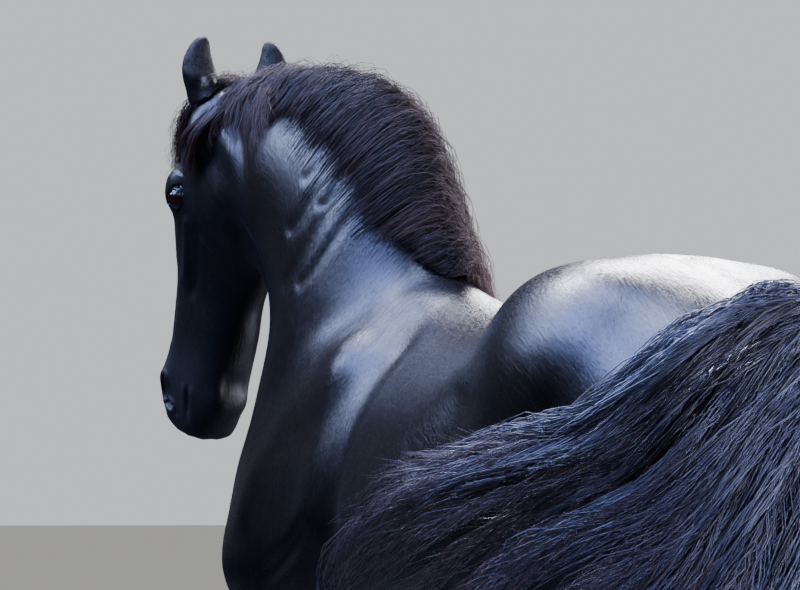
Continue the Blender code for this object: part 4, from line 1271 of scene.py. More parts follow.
    def lie(self, points: Array, normals: Array) -> Array:
        """The way the hair lies on the skin: back and down, down the legs and along the face.

        Args:
            points: Places in the body.
            normals: The skin's outward directions there.

        Returns:
            Unit vectors along the skin.
        """
        axes, local = self.body.head.axes(), self.body.head.from_body(points)
        on_head = self.headness(points)[:, None]
        x, y, z = points.T
        off_blade = ramp(y, 0.02, 0.16)
        down_out = np.stack([0.45 * np.sign(x), 0 * x - 0.05, 0 * x - 0.85], -1)
        way = np.tile([0.0, 1.0, -0.55], (len(points), 1))
        for share, here in (
            (ramp(-y, 0.05, 0.4) * ramp(z, 1.15, 1.4), np.array([-0.25, 0.75, -0.8])),  # neck
            (ramp(y, -0.42, -0.2) * (1 - off_blade) * ramp(z, 0.95, 1.15), down_out),  # shoulder
            (ramp(y, 0.8, 1.15), np.array([0.0, 0.35, -1.0])),  # rump
            (1 - ramp(z, 0.72, 1.0), np.array([0.0, 0.1, -1.0])),  # legs
        ):
            way = way * (1 - share[:, None]) + share[:, None] * here
        cheek = ramp(-local[:, 1], -0.02, 0.08)[:, None]
        face = (1 - cheek) * axes[:, 0] + cheek * (0.55 * axes[:, 0] - 0.85 * axes[:, 1])
        ear = (local[:, 0] < -0.015)[:, None]
        face = np.where(ear, -axes[:, 0], face)
        way = way * (1 - on_head) + face * on_head
        return unit(way - normals * np.sum(way * normals, axis=1, keepdims=True))

    def store_lie(self, mesh: Mesh) -> None:
        """Keeps the lie of the coat on the skin, for its finish.

        Args:
            mesh: The skin.
        """
        found = self.lie(vectors_of(mesh), vectors_of(mesh, "normal"))
        kept = mesh.attributes.new("lie", "FLOAT_VECTOR", "POINT")
        kept.data.foreach_set("vector", found.astype(np.float32).ravel())
        down = mesh.attributes.new("down", "FLOAT", "POINT")
        down.data.foreach_set("value", self.downy(vectors_of(mesh)).astype(np.float32))

    def downy(self, points: Array) -> Array:
        """How matt the coat is, from 0 to 1: most on the ears' down, some on the muzzle.

        Args:
            points: Places in the body.

        Returns:
            A share for each point.
        """
        local = self.body.head.from_body(points)
        ear = (1 - ramp(local[:, 0], -0.045, -0.005)) * ramp(np.abs(local[:, 2]), 0.025, 0.045)
        muzzle = 0.55 * ramp(local[:, 0], 0.42, 0.54)
        return (np.maximum(ear, 0.25) + muzzle) * self.headness(points)


# ---- finishes
def linear(code: str) -> tuple[float, float, float, float]:
    """An sRGB hex colour as linear RGBA: c / 12.92 in the darks, else ((c + 0.055) / 1.055)^2.4.

    Args:
        code: Six hex digits.

    Returns:
        Red, green, blue and 1.
    """
    parts = [int(code[k:k + 2], 16) / 255 for k in (1, 3, 5)]
    r, g, b = (c / 12.92 if c <= 0.04045 else ((c + 0.055) / 1.055) ** 2.4 for c in parts)
    return r, g, b, 1.0


SMOOTH = {"interpolation_type": "SMOOTHSTEP"}
COLOURS = {"data_type": "RGBA"}


class Nodes:
    """The nodes of one material or world."""

    def __init__(self, owner: ID) -> None:
        """Empties the owner's nodes.

        Args:
            owner: What the nodes belong to.
        """
        owner.use_nodes = True
        self.tree = owner.node_tree
        self.tree.nodes.clear()

    def add(self, kind: str, inputs: dict | Sequence, **settings: object) -> Sequence[NodeSocket]:
        """Adds a node.

        Args:
            kind: The node's type name after `ShaderNode`.
            inputs: Values, or sockets to link, in order or by the input's name or number.
            settings: Its own properties.

        Returns:
            The node's outputs.
        """
        node = self.tree.nodes.new("ShaderNode" + kind)
        for name, value in settings.items():
            setattr(node, name, value)
        for key, value in inputs.items() if isinstance(inputs, dict) else enumerate(inputs):
            if isinstance(value, NodeSocket):
                self.tree.links.new(value, node.inputs[key])
            else:
                node.inputs[key].default_value = value
        return node.outputs


def new_material(name: str) -> tuple[Material, Nodes]:
    """An empty node material."""
    material = bpy.data.materials.new(name)
    return material, Nodes(material)


@dataclass(frozen=True)
class SummerCoat:
    """Short black horse hair, dry and clean: black, with a cool sheen where it turns from the eye.

    The hair lies close in streaks along `lie`, so light catches it in fine broken lines; a
    little rust shows where the sun has bleached it. Where the streaks run high the black turns
    bluish grey: partly worn hair, partly painted sheen.
    """

    black: str = "#0a090b"
    rust: str = "#16100e"
    # bluish grey that the streaks and some tufts mix in: partly worn hair, partly painted sheen
    sheen_and_wear: str = "#23232b"
    sheen: str = "#a9b6d8"
    streak_mm: float = 4.5
    squeeze: float = 0.07
    keen: float = 7.0
    ways: tuple = ((0.0, 0.0, -1.0), (0.0, 0.88, -0.48), (0.0, 0.45, -0.89), (0.06, -0.26, -0.96),
                   (-0.22, 0.66, -0.71), (0.75, 0.0, -0.66), (-0.75, 0.0, -0.66))

    def base(self, nodes: Nodes) -> NodeSocket:
        """Black, with rust in broad soft patches.

        Args:
            nodes: The nodes to add to.

        Returns:
            The colour.
        """
        place = nodes.add("TexCoord", {})["Object"]
        broad = nodes.add("TexNoise", {"Vector": place, "Scale": 5.0, "Detail": 3.0, "Roughness": 0.5})[0]
        bleached = nodes.add("MapRange", (broad, 0.45, 0.75), **SMOOTH)[0]
        return nodes.add("Mix", {0: bleached, 6: linear(self.black), 7: linear(self.rust)}, **COLOURS)[2]

    def streaks(self, nodes: Nodes) -> NodeSocket:
        """Fine noise drawn out along the coat's lie.

        Noise is stretched along each of a few fixed ways, and the one that runs nearest to the
        lie shows: its weight is the cosine between the two to the power `keen`.

        Args:
            nodes: The nodes to add to.

        Returns:
            The noise, from 0 to 1.
        """
        place = nodes.add("TexCoord", {})["Object"]
        lie = nodes.add("Attribute", {}, attribute_name="lie")["Vector"]
        total = weights = 0.0
        for way in self.ways:
            turn = Vector(way).rotation_difference(Vector((0, 0, 1))).to_euler()
            inputs = {"Vector": place, "Rotation": turn}
            turned = nodes.add("VectorRotate", inputs, rotation_type="EULER_XYZ")[0]
            drawn = nodes.add("VectorMath", (turned, (1, 1, self.squeeze)), operation="MULTIPLY")[0]
            fine = {"Vector": drawn, "Scale": 1000 / self.streak_mm, "Detail": 4.0, "Roughness": 0.7}
            noise = nodes.add("TexNoise", fine)[0]
            near = nodes.add("VectorMath", (lie, Vector(way).normalized()), operation="DOT_PRODUCT")["Value"]
            weight = nodes.add("Math", (near, self.keen), operation="POWER", use_clamp=True)[0]
            share = nodes.add("Math", (noise, weight), operation="MULTIPLY")[0]
            total = nodes.add("Math", (total, share), operation="ADD")[0]
            weights = nodes.add("Math", (weights, weight), operation="ADD")[0]
        some = nodes.add("Math", (weights, 0.05), operation="MAXIMUM")[0]
        return nodes.add("Math", (total, some), operation="DIVIDE")[0]

    def material(self) -> Material:
        """The finish of the skin under the tufts.

        Returns:
            The material.
        """
        material, nodes = new_material("black_horse_coat")
        streaks = self.streaks(nodes)
        # painted sheen and wear: where the streaks run high the black turns bluish grey
        sheen_and_wear = nodes.add("MapRange", (streaks, 0.55, 0.8), **SMOOTH)[0]
        colour = nodes.add("Mix", {0: sheen_and_wear, 6: self.base(nodes), 7: linear(self.sheen_and_wear)}, **COLOURS)[2]
        glossy = nodes.add("MapRange", (streaks, 0.3, 0.7, 0.16, 0.36))[0]
        down = nodes.add("Attribute", {}, attribute_name="down")["Fac"]
        rough = nodes.add("Mix", {0: down, 2: glossy, 3: 0.62}, data_type="FLOAT")[0]
        relief = nodes.add("Bump", {"Height": streaks, "Strength": 1.0, "Distance": 0.0015})[0]
        shader = nodes.add("BsdfPrincipled", {
            "Base Color": colour, "Roughness": rough, "Normal": relief, "IOR": 1.5,
            "Specular IOR Level": 0.42, "Sheen Weight": 0.02, "Sheen Roughness": 0.35,
            "Sheen Tint": linear(self.sheen)})
        nodes.add("OutputMaterial", {"Surface": shader[0]})
        return material


@dataclass(frozen=True)
class LongHair:
    """Coarse mane and tail hair: black at the root, weathered to brown towards the tip, glossy;
    some clumps are lighter all along: painted sheen on the locks, in the mane partly worn hair.
    """

    name: str
    root: str = "#0b0a0c"
    # the lighter colour of some clumps: painted sheen on the locks, in the mane partly worn hair
    sheen_and_wear: str = "#4f556e"
    tip: str = "#5a3424"
    fades_from: float = 0.5
    roughness: float = 0.3
    sheen: str = "#bcc2e0"
    gloss: float = 0.6
    bloom: float = 0.45

    def material(self) -> Material:
        """The finish of the locks, by how far along each strand and by the strand's own luck.

        Returns:
            The material.
        """
        material, nodes = new_material(self.name)
        strand = nodes.add("Attribute", {}, attribute_name="strand")["Vector"]
        along, luck, clump = nodes.add("SeparateXYZ", (strand,))
        late = nodes.add("MapRange", (along, self.fades_from, 1.0), **SMOOTH)[0]
        faded = nodes.add("Math", (late, luck), operation="MULTIPLY")[0]
        # painted sheen: by their number some clumps turn lighter all along, standing for highlights on the
        # locks
        dull = nodes.add("MapRange", (clump, 0.35, 1.0), **SMOOTH)[0]
        colour = nodes.add("Mix", {0: dull, 6: linear(self.root), 7: linear(self.sheen_and_wear)}, **COLOURS)[2]
        colour = nodes.add("Mix", {0: faded, 6: colour, 7: linear(self.tip)}, **COLOURS)[2]
        low, high = self.roughness - 0.06, self.roughness + 0.08
        rough = nodes.add("MapRange", (clump, 0.0, 1.0, low, high))[0]
        shader = nodes.add("BsdfPrincipled", {
            "Base Color": colour, "Roughness": rough, "IOR": 1.55, "Specular IOR Level": self.gloss,
            "Sheen Weight": self.bloom, "Sheen Roughness": 0.3, "Sheen Tint": linear(self.sheen)})
        nodes.add("OutputMaterial", {"Surface": shader[0]})
        return material


@dataclass(frozen=True)
class TuftedCoat:
    """The tips of the short coat: the skin's black and rust, matt like down on the ears; some
    tufts turn bluish grey, partly worn hair and partly painted sheen.
    """

    coat: SummerCoat = SummerCoat()
    downy: float = 3.0

    def material(self) -> Material:
        """The finish of the short tufts.

        Returns:
            The material.
        """
        material, nodes = new_material("black_horse_coat_tufts")
        strand = nodes.add("Attribute", {}, attribute_name="strand")["Vector"]
        _, luck, clump = nodes.add("SeparateXYZ", (strand,))
        # painted sheen and wear: the luckiest tufts turn the same bluish grey
        sheen_and_wear = nodes.add("MapRange", (luck, 0.6, 1.0), **SMOOTH)[0]
        inputs = {0: sheen_and_wear, 6: self.coat.base(nodes), 7: linear(self.coat.sheen_and_wear)}
        colour = nodes.add("Mix", inputs, **COLOURS)[2]
        rough = nodes.add("MapRange", (clump, 0.0, self.downy, 0.24, 0.66))[0]
        shader = nodes.add("BsdfPrincipled", {
            "Base Color": colour, "Roughness": rough, "IOR": 1.5, "Specular IOR Level": 0.25})
        nodes.add("OutputMaterial", {"Surface": shader[0]})
        return material


@dataclass(frozen=True)
class WetEye:
    """A horse's eye: a clear wet cornea over a dark brown iris and a pupil that lies level."""

    iris: str = "#2a1509"
    rim: str = "#0d0705"
    # painted shade: the white of the eye is darkened to a near black brown
    white: str = "#1c120d"
    pupil: str = "#020202"

    def material(self) -> Material:
        """The finish by the place on the ball's face: level, upright and out, in eye radii.

        Returns:
            The material.
        """
        material, nodes = new_material("wet_brown_eye")
        face = nodes.add("Attribute", {}, attribute_name="face")["Vector"]

        def outside(level: float, upright: float, low: float, high: float) -> NodeSocket:
            """A share from 0 to 1 across the border of an ellipse with these half sizes."""
            scaled = nodes.add("VectorMath", (face, (1 / level, 1 / upright, 0)), operation="MULTIPLY")[0]
            length = nodes.add("VectorMath", (scaled,), operation="LENGTH")["Value"]
            return nodes.add("MapRange", (length, low, high), **SMOOTH)[0]

        rim, brown = linear(self.rim), linear(self.iris)
        fibres = nodes.add("TexNoise", {"Vector": face, "Scale": 9.0, "Detail": 4.0, "Roughness": 0.5})[0]
        iris = nodes.add("Mix", {0: fibres, 6: rim, 7: brown}, **COLOURS)[2]
        pupil = {0: outside(0.3, 0.14, 0.9, 1.1), 6: linear(self.pupil), 7: iris}
        iris = nodes.add("Mix", pupil, **COLOURS)[2]
        iris = nodes.add("Mix", {0: outside(0.74, 0.62, 0.8, 1.0), 6: iris, 7: rim}, **COLOURS)[2]
        white = {0: outside(0.78, 0.68, 0.98, 1.1), 6: iris, 7: linear(self.white)}
        shader = nodes.add("BsdfPrincipled", {
            "Base Color": nodes.add("Mix", white, **COLOURS)[2], "Roughness": 0.06, "IOR": 1.38,
            "Specular IOR Level": 0.35, "Coat Weight": 0.35, "Coat Roughness": 0.03})
        nodes.add("OutputMaterial", {"Surface": shader[0]})
        return material


@dataclass(frozen=True)
class HoofHorn:
    """Dark slate hoof horn, rasped smooth: fine tubules run down it and growth rings round it."""

    dark: str = "#1d1a18"
    light: str = "#3c352f"
    coronet: str = "#4a4038"

    def material(self) -> Material:
        """The finish by the place on the wall: round it, up it, and 1 on the sole.

        Returns:
            The material.
        """
        material, nodes = new_material("slate_hoof_horn")
        wall = nodes.add("Attribute", {}, attribute_name="wall")["Vector"]
        _, up, _ = nodes.add("SeparateXYZ", (wall,))
        runs = nodes.add("VectorMath", (wall, (60, 2, 1)), operation="MULTIPLY")[0]
        tubules = nodes.add("TexNoise", {"Vector": runs, "Scale": 3.0, "Detail": 3.0, "Roughness": 0.5})[0]
        hoops = nodes.add("VectorMath", (wall, (0.6, 14, 1)), operation="MULTIPLY")[0]
        rings = nodes.add("TexNoise", {"Vector": hoops, "Scale": 1.0, "Detail": 1.0, "Roughness": 0.5})[0]
        both = nodes.add("Math", (rings, 2.0, tubules), operation="MULTIPLY_ADD")[0]
        pale = nodes.add("MapRange", (both, 1.1, 2.0), **SMOOTH)[0]
        colour = nodes.add("Mix", {0: pale, 6: linear(self.dark), 7: linear(self.light)}, **COLOURS)[2]
        top = nodes.add("MapRange", (up, 0.9, 1.0), **SMOOTH)[0]
        colour = nodes.add("Mix", {0: top, 6: colour, 7: linear(self.coronet)}, **COLOURS)[2]
        relief = nodes.add("Bump", {"Height": both, "Strength": 0.35, "Distance": 0.002})[0]
        shader = nodes.add("BsdfPrincipled", {"Base Color": colour, "Roughness": 0.42, "Normal": relief})
        nodes.add("OutputMaterial", {"Surface": shader[0]})
        return material


@dataclass(frozen=True)
class StudioPaper:
    """The pale, matt floor of the studio."""

    tone: str = "#8b8a88"
    glow: str = "#e4e3e0"
    dim: str = "#2e2e30"
    glow_power: float = 0.46

    def material(self) -> Material:
        """The finish of the floor: pale to the eye, dimmer to the light.

        Returns:
            The material.
        """
        material, nodes = new_material("pale_studio_floor")
        seen = nodes.add("LightPath", {})["Is Camera Ray"]
        tone = nodes.add("Mix", {0: seen, 6: linear(self.dim), 7: linear(self.tone)}, **COLOURS)[2]
        power = nodes.add("Math", (seen, self.glow_power), operation="MULTIPLY")[0]
        shader = nodes.add("BsdfPrincipled", {
            "Base Color": tone, "Roughness": 0.9, "Emission Color": linear(self.glow),
            "Emission Strength": power})
        nodes.add("OutputMaterial", {"Surface": shader[0]})
        return material


# ---- eyes and hooves
@dataclass
class Eye:
    """One eyeball: an ellipsoid with the cornea standing a little proud."""

    body: Body
    side: Side
    bulge: float = 0.0016

    def build(self, finish: Material) -> Object:
        """The ball as rings round its outward axis.

        Ring k lies at an angle p from the axis, at radius R sin p; the cornea adds
        bulge * exp(-(p / 0.55)^2).

        Args:
            finish: The finish to wear.

        Returns:
            The eyeball.
        """
        head = self.body.head
        polar = np.linspace(0.01, math.pi - 0.01, 34)[:, None]
        t = np.linspace(0, 2 * math.pi, 48, endpoint=False)[None, :]
        radius = head.eye_radius + self.bulge * np.exp(-((polar / 0.55) ** 2))
        local = np.stack([radius * np.sin(polar) * np.cos(t), radius * np.sin(polar) * np.sin(t),
                          radius * np.cos(polar) + 0 * t], -1)
        shell = Shell.tube(local)
        face = shell.points / head.eye_radius
        local = shell.points @ head.eye_axes(self.side).T + head.eye(self.side)
        shell.points = head.to_body(local) + self.body.shift
        return piece(f"eyeball_{self.side.word}", shell.outward(), finish, [f"eye_{self.side.word}"],
                     {"face": face})


def piece(name: str, shell: Shell, finish: Material, stands_for: Sequence[str],
          attributes: dict[str, Array] | None = None) -> Object:
    """A finished piece that rides on the one body.

    Args:
        name: The piece's name.
        shell: Its points and faces, in the frame.
        finish: Its material.
        stands_for: The CAD nodes that it replaces.
        attributes: Vectors kept on its points, by name.

    Returns:
        The object.
    """
    obj = put_in_scene(name, shell.mesh(name))
    obj.data.materials.append(finish)
    for key, values in (attributes or {}).items():
        kept = obj.data.attributes.new(key, "FLOAT_VECTOR", "POINT")
        kept.data.foreach_set("vector", values.astype(np.float32).ravel())
    settle(obj, stands_for)
    return obj


def settle(obj: Object, stands_for: Sequence[str]) -> None:
    """Ties a piece to the body and to the nodes it stands for, and reports it.

    Args:
        obj: The piece.
        stands_for: The nodes it stands for.
    """
    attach(obj, "root")
    if stands_for:
        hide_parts(*stands_for)
    obj.data.calc_loop_triangles()
    LOG.info("%s: %d triangles", obj.name, len(obj.data.loop_triangles))


@dataclass
class Hoof:
    """One hoof: a sloping wall with rounded rims, standing on a flat sole."""

    body: Body
    leg: Leg

    def build(self, finish: Material) -> Object:
        """The hoof as rings from the sole's middle out to the rim and up the wall.

        Each ring is an ellipse whose middle and half sizes run straight from the floor to
        the coronet; the rim of the sole is rounded and the wall swells a little half way.

        Args:
            finish: The finish to wear.

        Returns:
            The hoof.
        """
        leg = self.leg
        toe_low, heel_low, toe_high, heel_high, out = (
            leg.fore_hoof if leg.limb is Limb.FORE else leg.hind_hoof)
        t = np.linspace(0, 2 * math.pi, 72, endpoint=False)
        rings, wall = [], []
        # share up the wall, share of the ring's full size
        course = [(0.0, 0.25), (0.0, 0.6), (0.0, 0.9), (0.012, 0.975)]
        course += [(s, 1.0) for s in np.linspace(0.04, 0.97, 22)] + [(1.0, 0.965), (1.0, 0.8), (0.98, 0.45)]
        for share, size in course:
            toe, heel = np.array([toe_low, heel_low]) * (1 - share) + np.array([toe_high, heel_high]) * share
            half = (leg.hoof_width / 2) * (1 - share) + leg.coronet_half_width * share
            ripple = 1 + 0.006 * math.sin(math.pi * share) + 0.0022 * math.sin(22 * share)
            behind = (toe + heel) / 2 + size * ripple * (heel - toe) / 2 * np.sin(t)
            x = out + size * ripple * half * np.cos(t)
            back = np.clip((behind - toe) / (heel - toe), 0, 1)
            high = leg.hoof_top + (leg.hoof_heel - leg.hoof_top) * back
            z = share * high
            place = np.stack([self.leg.side.value * x, behind - leg.ahead(0.06), z], -1)
            rings.append(leg.spine.carry(place))
            wall.append(np.stack([t / (2 * math.pi), np.full(72, share), np.zeros(72)], -1))
        shell = Shell.tube(np.array(rings))
        kept = np.concatenate([np.array(wall).reshape(-1, 3), np.zeros((1, 3)), np.array([[0, 1, 0]])])
        shell.points = shell.points + self.body.shift
        nodes = [f"hoof_{leg.name}"]
        return piece(f"hoof_wall_{leg.name}", shell.outward(), finish, nodes, {"wall": kept})


# ---- hair
@dataclass
class Strands:
    """Locks of hair as paths with the same number of points each.

    `paths` is strands x points x 3, `facing` the way each one's broad side looks, `half_width`
    its half width at the thickest, `place` its root on an unwrap of the surface it grows from,
    and `luck` and `clump` two numbers from 0 to 1 that vary its finish.
    """

    paths: Array
    facing: Array
    half_width: Array
    place: Array
    luck: Array
    clump: Array
    flatness: float = 0.55
    patch: float = 0.003

    def part(self, chosen: Array) -> "Strands":
        """Only the chosen strands."""
        return Strands(self.paths[chosen], self.facing[chosen], self.half_width[chosen], self.place[chosen],
                       self.luck[chosen], self.clump[chosen], self.flatness, self.patch)

    def shell(self) -> tuple[Shell, Array, Array]:
        """A closed tapering tube of three sides round every path, ending in a point.

        The half width at t along a path is w * min(1, 0.55 + 6t) * (1 - t^3)^0.8. The three
        corners stand at -90, 90 and 0 degrees from the broad side's own way, the last raised
        by `flatness` of the half width.

        Returns:
            The shell, the `strand` vector (t, luck, clump) and the place on the unwrap of
            each point.
        """
        count, along = self.paths.shape[:2]
        t = np.linspace(0, 1, along)
        tangent = unit(np.gradient(self.paths, axis=1))
        facing = self.facing if self.facing.ndim == 3 else self.facing[:, None, :]
        side = unit(np.cross(tangent, facing))
        up = unit(np.cross(side, tangent))
        taper = np.minimum(1, 0.55 + 6 * t) * (1 - t**3) ** 0.8
        half = (self.half_width[:, None] * taper)[..., None]
        rings = np.stack([
            self.paths - side * half, self.paths + side * half, self.paths + up * half * self.flatness * 2,
        ], 2)[:, :-1]
        points = np.concatenate([rings.reshape(count, -1, 3), self.paths[:, -1:]], 1)
        per = points.shape[1]
        k, j = np.meshgrid(np.arange(along - 2), np.arange(3), indexing="ij")
        a, b = (3 * k + j).ravel(), (3 * k + (j + 1) % 3).ravel()
        tip, last = per - 1, 3 * (along - 2)
        faces = np.concatenate([
            np.stack([a, b, b + 3], -1), np.stack([a, b + 3, a + 3], -1),
            [[last, last + 1, tip], [last + 1, last + 2, tip], [last + 2, last, tip], [2, 1, 0]],
        ])
        all_faces = (faces[None] + (np.arange(count) * per)[:, None, None]).reshape(-1, 3)
        t_point = np.append(np.repeat(t[:-1], 3), 1.0)
        strand = np.stack(np.broadcast_arrays(t_point[None], self.luck[:, None], self.clump[:, None]), -1)
        corner = np.append(np.tile([0.0, 0.5, 1.0], along - 1), 0.5)
        spot = self.place[:, None, :] + self.patch * np.stack([corner, t_point], -1)[None]
        return Shell(points.reshape(-1, 3), all_faces), strand.reshape(-1, 3), spot.reshape(-1, 2)

    def build(self, name: str, shift: Array, finish: Material, slot: str,
              stands_for: Sequence[str] = (), pieces: int = 1) -> None:
        """Makes the strands into pieces, dealing them out in turn.

        Args:
            name: What the pieces are called, numbered where there are several.
            shift: What carries the design into the frame.
            finish: Their material.
            slot: Not used.
            stands_for: CAD nodes that the first piece replaces.
            pieces: How many pieces share the strands.
        """
        for k in range(pieces):
            shell, strand, spot = self.part(np.arange(k, len(self.paths), pieces)).shell()
            shell.points = shell.points + shift
            label = name if pieces == 1 else f"{name}_{k + 1}"
            obj = piece(label, shell, finish, stands_for if k == 0 else (), {"strand": strand})
            unwrap = obj.data.uv_layers.new(name="OFBake")
            unwrap.data.foreach_set("uv", spot[shell.faces.ravel()].astype(np.float32).ravel())


def shade_core(name: str, core: Shell, body: Body, finish: Material) -> None:
    """The body inside a mass of hair, finished like the roots of dull strands: a dark sheet of
    painted shade that stands for the shaded depth of the hair.

    Args:
        name: The piece's name.
        core: Its shell, on the unmoved horse.
        body: The horse.
        finish: The finish of the hair round it.
    """
    core.points = core.points + body.shift
    dull = np.tile([0.0, 0.3, 0.5], (len(core.points), 1))
    piece(name, core.outward(), finish, (), {"strand": dull})


def waved(paths: Array, facing: Array, sway: Array, waves: Array, phase: Array, lift: Array) -> Array:
    """Strands that swing from side to side, and a little off the surface, by sines.

    Args:
        paths: Strands x points x 3.
        facing: The way each strand's broad side looks.
        sway: Greatest swing of each strand, reached a third of the way along.
        waves: Number of waves along each.
        phase: Where each begins, in turns.
        lift: Greatest rise off the surface.

    Returns:
        The moved paths.
    """
    t = np.linspace(0, 1, paths.shape[1])[None]
    tangent = unit(np.gradient(paths, axis=1))
    facing = facing if facing.ndim == 3 else facing[:, None, :]
    side = unit(np.cross(tangent, facing))
    grown = ramp(t, 0.0, 0.35)
    turn = 2 * math.pi * (waves[:, None] * t**1.15 + phase[:, None])
    swing = sway[:, None] * grown * np.sin(turn)
    rise = lift[:, None] * grown * np.sin(1.7 * turn + 2.0)
    return paths + side * swing[..., None] + facing * rise[..., None]


@dataclass
class Tail:
    """The tail, swung to the left: a fan of wavy locks from the dock, hanging at one edge."""

    body: Body
    # how far the plan curve has run, then out and behind there
    plan: Rows = (
        (-60, -60, 1215), (0, 0, 1225), (60, 75, 1250), (130, 170, 1265), (220, 275, 1245),
        (320, 365, 1165), (440, 440, 1050), (540, 500, 930), (630, 545, 800), (720, 565, 660),
        (800, 570, 540),
    )
    # reach along the plan and height of the top edge, then of the hanging edge, root to tip
    top: Rows = (
        (0, 1524), (50, 1530), (120, 1522), (210, 1460), (320, 1352), (440, 1322), (540, 1300), (630, 1258),
        (710, 1190), (765, 1120),
    )
    hanging: Rows = (
        (-10, 1420), (-30, 1340), (-45, 1240), (-50, 1110), (-50, 970), (-45, 820), (-35, 680), (-20, 550),
        (-5, 430), (10, 330),
    )
    thick: Sequence[float] = (50, 58, 56, 50, 45, 40, 35, 29, 22, 12)
    strands: int = 3700
    clumps: int = 230
    locks_wide: int = 40

    def sheet(self, run: Array, share: Array, offset: Array) -> tuple[Array, Array]:
        """Points in the fan.

        Between the two edges a point's reach and height run straight, and its height sags by
        0.10 * run * sin(pi * share).

        Args:
            run: Place from the root, 0, to the tips, 1.
            share: Place across, from the hanging edge, 0, to the top edge, 1.
            offset: Place through the thickness, from -1 to 1.

        Returns:
            The points, and the way the broad side of the fan looks there.
        """
        knots = np.linspace(0, 1, 10)
        high, low = (hermite(knots, metres(edge, 2), run) for edge in (self.top, self.hanging))
        mixed = low + (high - low) * share[..., None]
        reach, height = mixed[..., 0], mixed[..., 1] - 0.1 * run * np.sin(math.pi * share)
        plan = metres(self.plan, 3)
        before, place, after = (hermite(plan[:, 0], plan[:, 1:], reach + d) for d in (-0.004, 0.0, 0.004))
        ahead = after - before
        way = unit(np.stack([-ahead[..., 1], ahead[..., 0]], -1))
        half = hermite(knots, np.array(self.thick)[:, None] / 1000, run)[..., 0] / 2
        flat = place + way * (offset * half)[..., None]
        points = self.body.spine.carry(np.concatenate([flat, height[..., None]], -1))
        facing = np.concatenate([way, 0 * height[..., None]], -1)
        return points, facing

    def dock(self, around: Array, along: Array) -> Array:
        """Places on the stub of the tail: an ellipse swept from its root to its end.

        Args:
            around: Turns round the stub, in radians.
            along: Shares of its length.

        Returns:
            One place for each pair.
        """
        start, end = np.array([0.01, 1.075, 1.476]), np.array([0.004, 1.19, 1.458])
        middle = start + (end - start) * along[..., None]
        narrow = (1.5 - 0.85 * along)[..., None]
        ring = np.stack([0.026 * np.cos(around), 0 * around, 0.03 * np.sin(around)], -1)
        return self.body.spine.carry(middle + ring * narrow)

    def locks(self) -> Strands:
        """The strands, gathered in clumps that draw together towards their ends.

        Returns:
            The strands.
        """
        rng = np.random.default_rng(11)
        n, t = self.strands, np.linspace(0, 1, 24)[None]
        clump = rng.integers(0, self.clumps, n)
        lock_c = rng.integers(0, self.locks_wide, self.clumps)
        share_l = (np.arange(self.locks_wide) + rng.uniform(0.15, 0.85, self.locks_wide)) / self.locks_wide
        lock = lock_c[clump]
        off_c = rng.normal(0, 0.32 / self.locks_wide, self.clumps)
        offset_c = rng.uniform(-0.75, 0.8, self.locks_wide)[lock_c] + rng.normal(0, 0.18, self.clumps)
        phase_l, waves_l = rng.uniform(0, 1, self.locks_wide), rng.uniform(1.3, 2.4, self.locks_wide)
        phase_c, waves_c = rng.normal(0, 0.1, self.clumps), rng.uniform(3.6, 5.6, self.clumps)
        end_c = rng.uniform(0.74, 1.0, self.locks_wide)[lock_c]
        whole = rng.random(n) < 0.25
        end = end_c[clump] * np.where(whole, rng.uniform(0.95, 1.12, n), rng.uniform(0.66, 0.98, n))
        run = np.clip(t * end[:, None], 0, 1)
        gather = 1 - 0.6 * ramp(t, 0.1, 0.8)
        own = rng.normal(0, 0.006, n)
        wide = (own + off_c[clump])[:, None] * gather * (1 + 0.3 * t)
        deep = rng.normal(0, 0.2, n)[:, None] * gather
        drift = (0.035 * np.sin(2 * math.pi * (phase_l[lock] + 0.4 * rng.uniform(0.8, 1.2, n))))[:, None] * t
        share = np.clip(share_l[lock][:, None] + wide + drift, -0.02, 1.02)
        offset = np.clip(offset_c[clump][:, None] + deep, -1.15, 1.15)
        paths, facing = self.sheet(run, share, offset)
        # every strand leaves the dock and joins the fan in the first sixth of its length
        around = np.pi * (0.5 - share[:, 0] + 0.5) + rng.normal(0, 0.5, n)
        root = self.dock(around, rng.uniform(0.05, 1.0, n))
        joins = ramp(t, 0.0, 0.17)[..., None]
        paths = root[:, None, :] * (1 - joins) + paths * joins
        paths = waved(paths, facing, 0.019 * rng.uniform(0.4, 1.2, self.locks_wide)[lock], waves_l[lock],
                      phase_l[lock], np.full(n, 0.014))
        paths = waved(paths, facing, 0.008 * rng.uniform(0.4, 1.3, self.clumps)[clump], waves_c[clump],
                      (phase_l[lock] * 3 + phase_c[clump]) % 1.0 + rng.normal(0, 0.02, n), np.full(n, 0.003))
        stray = rng.random(n) < 0.035
        paths = waved(paths, facing, np.where(stray, rng.uniform(0.01, 0.03, n), 0.0), rng.uniform(1, 2.5, n),
                      rng.uniform(0, 1, n), np.where(stray, 0.018, 0.0))
        twist = rng.uniform(-0.6, 0.6, (n, 1)) + 0.4 * np.sin(2 * math.pi * (
            rng.uniform(2, 4, (n, 1)) * t + rng.random((n, 1))))
        across = np.cross(unit(np.gradient(paths, axis=1)), facing)
        facing = unit(facing * np.cos(twist)[..., None] + across * np.sin(twist)[..., None])
        place = np.stack([share_l[lock] * 0.9 + 0.05 + wide[:, 0], 0.5 + 0.45 * offset[:, 0]], -1)
        width = rng.uniform(0.0006, 0.0015, n)
        # which locks and clumps take the hair finish's lighter colour of painted sheen
        tone = 0.65 * rng.random(self.locks_wide)[lock] + 0.35 * rng.random(self.clumps)[clump]
        return Strands(paths, facing, width, np.clip(place, 0.005, 0.99), rng.random(n), tone)

